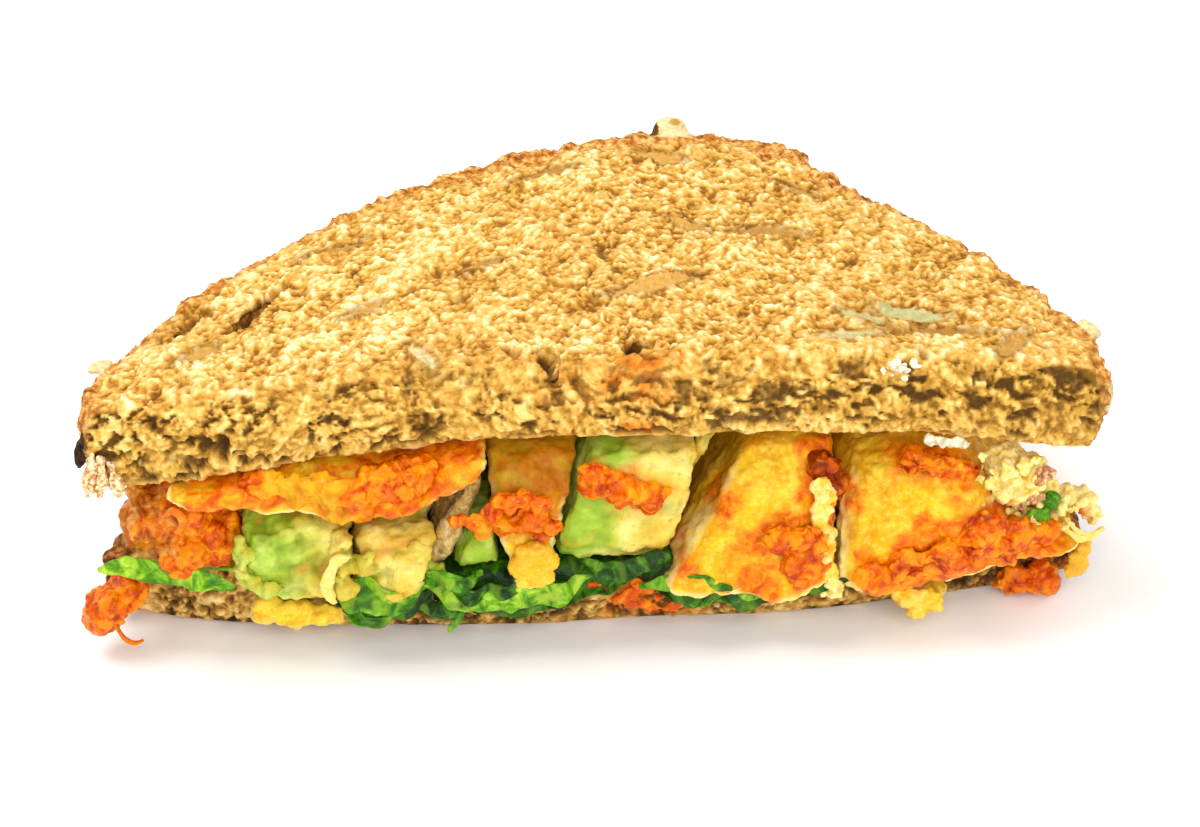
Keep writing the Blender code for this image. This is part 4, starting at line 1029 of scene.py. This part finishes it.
def scatter(name, groups, seed):
    # small uneven lumps, one mesh
    rng = random.Random(seed)
    spots = []
    bm = bmesh.new()
    for cx, cy, cz, sx, sy, sz, count, small, large in groups:
        for _ in range(count):
            size = rng.uniform(small, large)
            spot = Vector((rng.gauss(cx, sx / 2), rng.gauss(cy, sy / 2), rng.gauss(cz, sz / 2)))
            stretch = Vector([rng.uniform(0.6, 1.4) for _ in range(3)])
            for v in bmesh.ops.create_icosphere(bm, subdivisions=3, radius=size / 2)["verts"]:
                v.co = (Vector([c * k for c, k in zip(v.co, stretch)]) + spot + cutOrigin) * mm
                spots.append(spot)
    mesh = bpy.data.meshes.new(name)
    bm.to_mesh(mesh)
    bm.free()
    mesh.shade_smooth()
    piece = addObject(name, mesh)
    points = pointsOf(mesh)
    out = points - np.array(spots)
    setPoints(mesh, points + out * (1.3 * roughNoise(points, 1.0, seed, 2))[:, None])
    return piece


def looseMaterial(name, tones, roughness):
    # a dry or moist crumb, darker in its dents
    return layered(name, {"fine": (0.7, 3, 0.6, 0)}, {
        "Base Color": [("fine", (0.36, 0.5, 0.64), tones)],
        "Roughness": roughness, "Specular IOR Level": 0.3})


for seed, (path, width, thick) in enumerate(loose["shreds"]):
    piece = ribbon("eggShred%d" % seed, path, width, 600 + seed, thick, 0.5, 6)
    points = pointsOf(piece.data)
    push(piece.data, points, 0.35 * roughNoise(points, 1.8, 610 + seed, 2))
    setMask(piece.data, "relief", 0.6 + 0.4 * smoothNoise(points, 1.5, 615))
    setMask(piece.data, "rim", 0.65)
    setMask(piece.data, "smear", 0.4 * sauceNear(points, 0.8, 616 + seed))
    dress(piece, egg, "omelette")
torn = looseMaterial("tornCrumbFibres", ("#b07a3c", "#ecc48c", "#fff2d6"), 0.8)
for seed, (path, width, thick) in enumerate(loose["fibres"]):
    piece = ribbon("crumbFibre%d" % seed, path, width, 580 + seed, thick, 0.5, 6)
    points = pointsOf(piece.data)
    push(piece.data, points, 0.55 * roughNoise(points, 1.3, 590 + seed, 2))
    dress(piece, torn, "toasted_bread")
for seed, (path, width, thick) in enumerate(loose["strings"]):
    piece = ribbon("relishString%d" % seed, path, width, 620 + seed, thick, 0.4, 6)
    # a high relief gives the string the lighter raised colour, a painted highlight
    setMask(piece.data, "relief", 0.85)
    dress(piece, wet, "relish")
crumbs = scatter("curdCrumbs", loose["curds"], 640)
setMask(crumbs.data, "relief", 0.8)
setMask(crumbs.data, "rim", 0.8)
setMask(crumbs.data, "smear", 0.8 * sauceNear(pointsOf(crumbs.data), 1.0, 641))
dress(crumbs, egg, "omelette")
rng = random.Random(645)
spots = [((rng.gauss(cx, sx / 2), rng.gauss(cy, sy / 2), max(rng.gauss(cz, sz / 2), 5.8)),
          (rng.uniform(small, large), 1.1, rng.uniform(small, large) * 0.8))
         for cx, cy, cz, sx, sy, sz, count, small, large in loose["drips"] for _ in range(count)]
drips = blob("relishDrips", spots, 0.3, 2)
points = pointsOf(drips.data)
ragged = roughNoise(points, 1.4, 646, 3)
push(drips.data, points, 0.45 * ragged)
setMask(drips.data, "relief", 0.36 + 0.3 * ragged)
dress(drips, wet, "relish")
dress(scatter("whiteCurdCrumbs", loose["white"], 650),
      looseMaterial("whiteCurd", ("#c6b68c", "#ebe0c4", "#faf5e6"), 0.7), "omelette")
dress(scatter("onionBits", loose["pink"], 660),
      looseMaterial("softOnion", ("#96582c", "#c88a58", "#e8be90"), 0.4), "relish")
heap = looseMaterial("whiteCurdHeap", ("#b8a884", "#dcd0b0", "#f4ecd6"), 0.7)
for name, lumps, material, slot, rough, pale in (
        ("spinachBit", "green", leafToneAndShade[1], "spinach", 1.0, 0.75),
        ("eggHem", "hem", egg, "omelette", 0.6, 0.75),
        ("eggLump", "lump", egg, "omelette", 1.0, 0.2),
        ("eggTip", "tip", egg, "omelette", 0.6, 0.0),
        ("eggAtEnd", "endSmear", egg, "omelette", 1.0, 0.1),
        ("relishCurl", "curl", wet, "relish", 1.0, 0.0),
        ("whiteCurdHeap", "whiteCurd", heap, "omelette", 1.0, 0.75)):
    piece = blob(name, loose[lumps], 0.33, 2)
    points = pointsOf(piece.data)
    ragged = 0.6 * roughNoise(points, 2.0, 671, 3) + 0.3 * roughNoise(points, 0.8, 677, 2)
    push(piece.data, points, ragged * rough)
    setMask(piece.data, "relief", 0.6 + 0.6 * ragged)
    setMask(piece.data, "rim", pale * fade(ragged, -0.3, 0.3))
    spread = 0.3 * fade(ragged + 0.5 * smoothNoise(points, 3.0, 678), -0.4, 0.4)
    spread *= name in ("eggTip", "eggAtEnd")
    sauced = (0.9 - 0.8 * pale) * sauceNear(points, 1.0, 675)
    setMask(piece.data, "smear", np.maximum(spread, sauced))
    dress(piece, material, slot)
print("loose bits")


# floor, light and camera

def stageFloor():
    # matt white paper sweep
    made = layered("whitePaperSweep", {"soft": (60, 2, 0.5, 0)}, {
        "Base Color": [("soft", (0.3, 0.7), ("#fcfbf9", "#fefefd"))], "Roughness": 0.9})
    mesh = bpy.data.meshes.new("floor")
    mesh.from_pydata([(-3, -3, 0), (3, -3, 0), (3, 3, 0), (-3, 3, 0)], [], [(0, 1, 2, 3)])
    floor = addObject("floor", mesh)
    floor.location.z = -0.0004
    mesh.materials.append(made)


lamps = {  # name: position, target height, size, watts
    "key": ((-0.26, 0.10, 0.58), 0.02, 0.42, 3.3),
    "front": ((0.10, -0.70, 0.48), 0.02, 0.80, 5.4),
    "side": ((0.6, 0.1, 0.45), 0.02, 0.60, 1.4),
}


def addLamps():
    for name, (spot, aim, size, watts) in lamps.items():
        lamp = bpy.data.lights.new(name, "AREA")
        lamp.size = size
        lamp.energy = watts
        holder = addObject(name, lamp)
        holder.location = spot
        holder.rotation_mode = "QUATERNION"
        holder.rotation_quaternion = (Vector((0, 0, aim)) - Vector(spot)).to_track_quat("-Z", "Y")
    world = bpy.data.worlds.new("studio")
    world.use_nodes = True
    world.node_tree.nodes["Background"].inputs["Color"].default_value = srgb("#fbfaf7")
    world.node_tree.nodes["Background"].inputs["Strength"].default_value = 0.5
    bpy.context.scene.world = world


shot = {  # where the photograph was taken from
    "elevation": 37.5, "azimuth": -4.0, "distance": 0.55, "focalPixels": 3440.0,
    "target": Vector((0, 25, 22)), "targetPixel": (600.0, 421.5), "imageSize": (1200, 827)}


def addCamera():
    e, a = math.radians(shot["elevation"]), math.radians(shot["azimuth"])
    back = Vector((math.sin(a) * math.cos(e), -math.cos(a) * math.cos(e), math.sin(e)))
    target = (shot["target"] + cutOrigin) * mm
    lens = bpy.data.cameras.new("camera")
    width, height = shot["imageSize"]
    lens.sensor_width = 36
    lens.lens = shot["focalPixels"] / width * 36
    lens.shift_y = (shot["targetPixel"][1] - height / 2) / width
    lens.clip_start, lens.clip_end = 0.01, 10
    camera = addObject("camera", lens)
    camera.location = target + back * shot["distance"]
    camera.rotation_mode = "QUATERNION"
    camera.rotation_quaternion = (-back).to_track_quat("-Z", "Y")
    bpy.context.scene.camera = camera


stageFloor()
addLamps()
addCamera()
bpy.context.scene.view_settings.view_transform = "Standard"

print("stage ready")
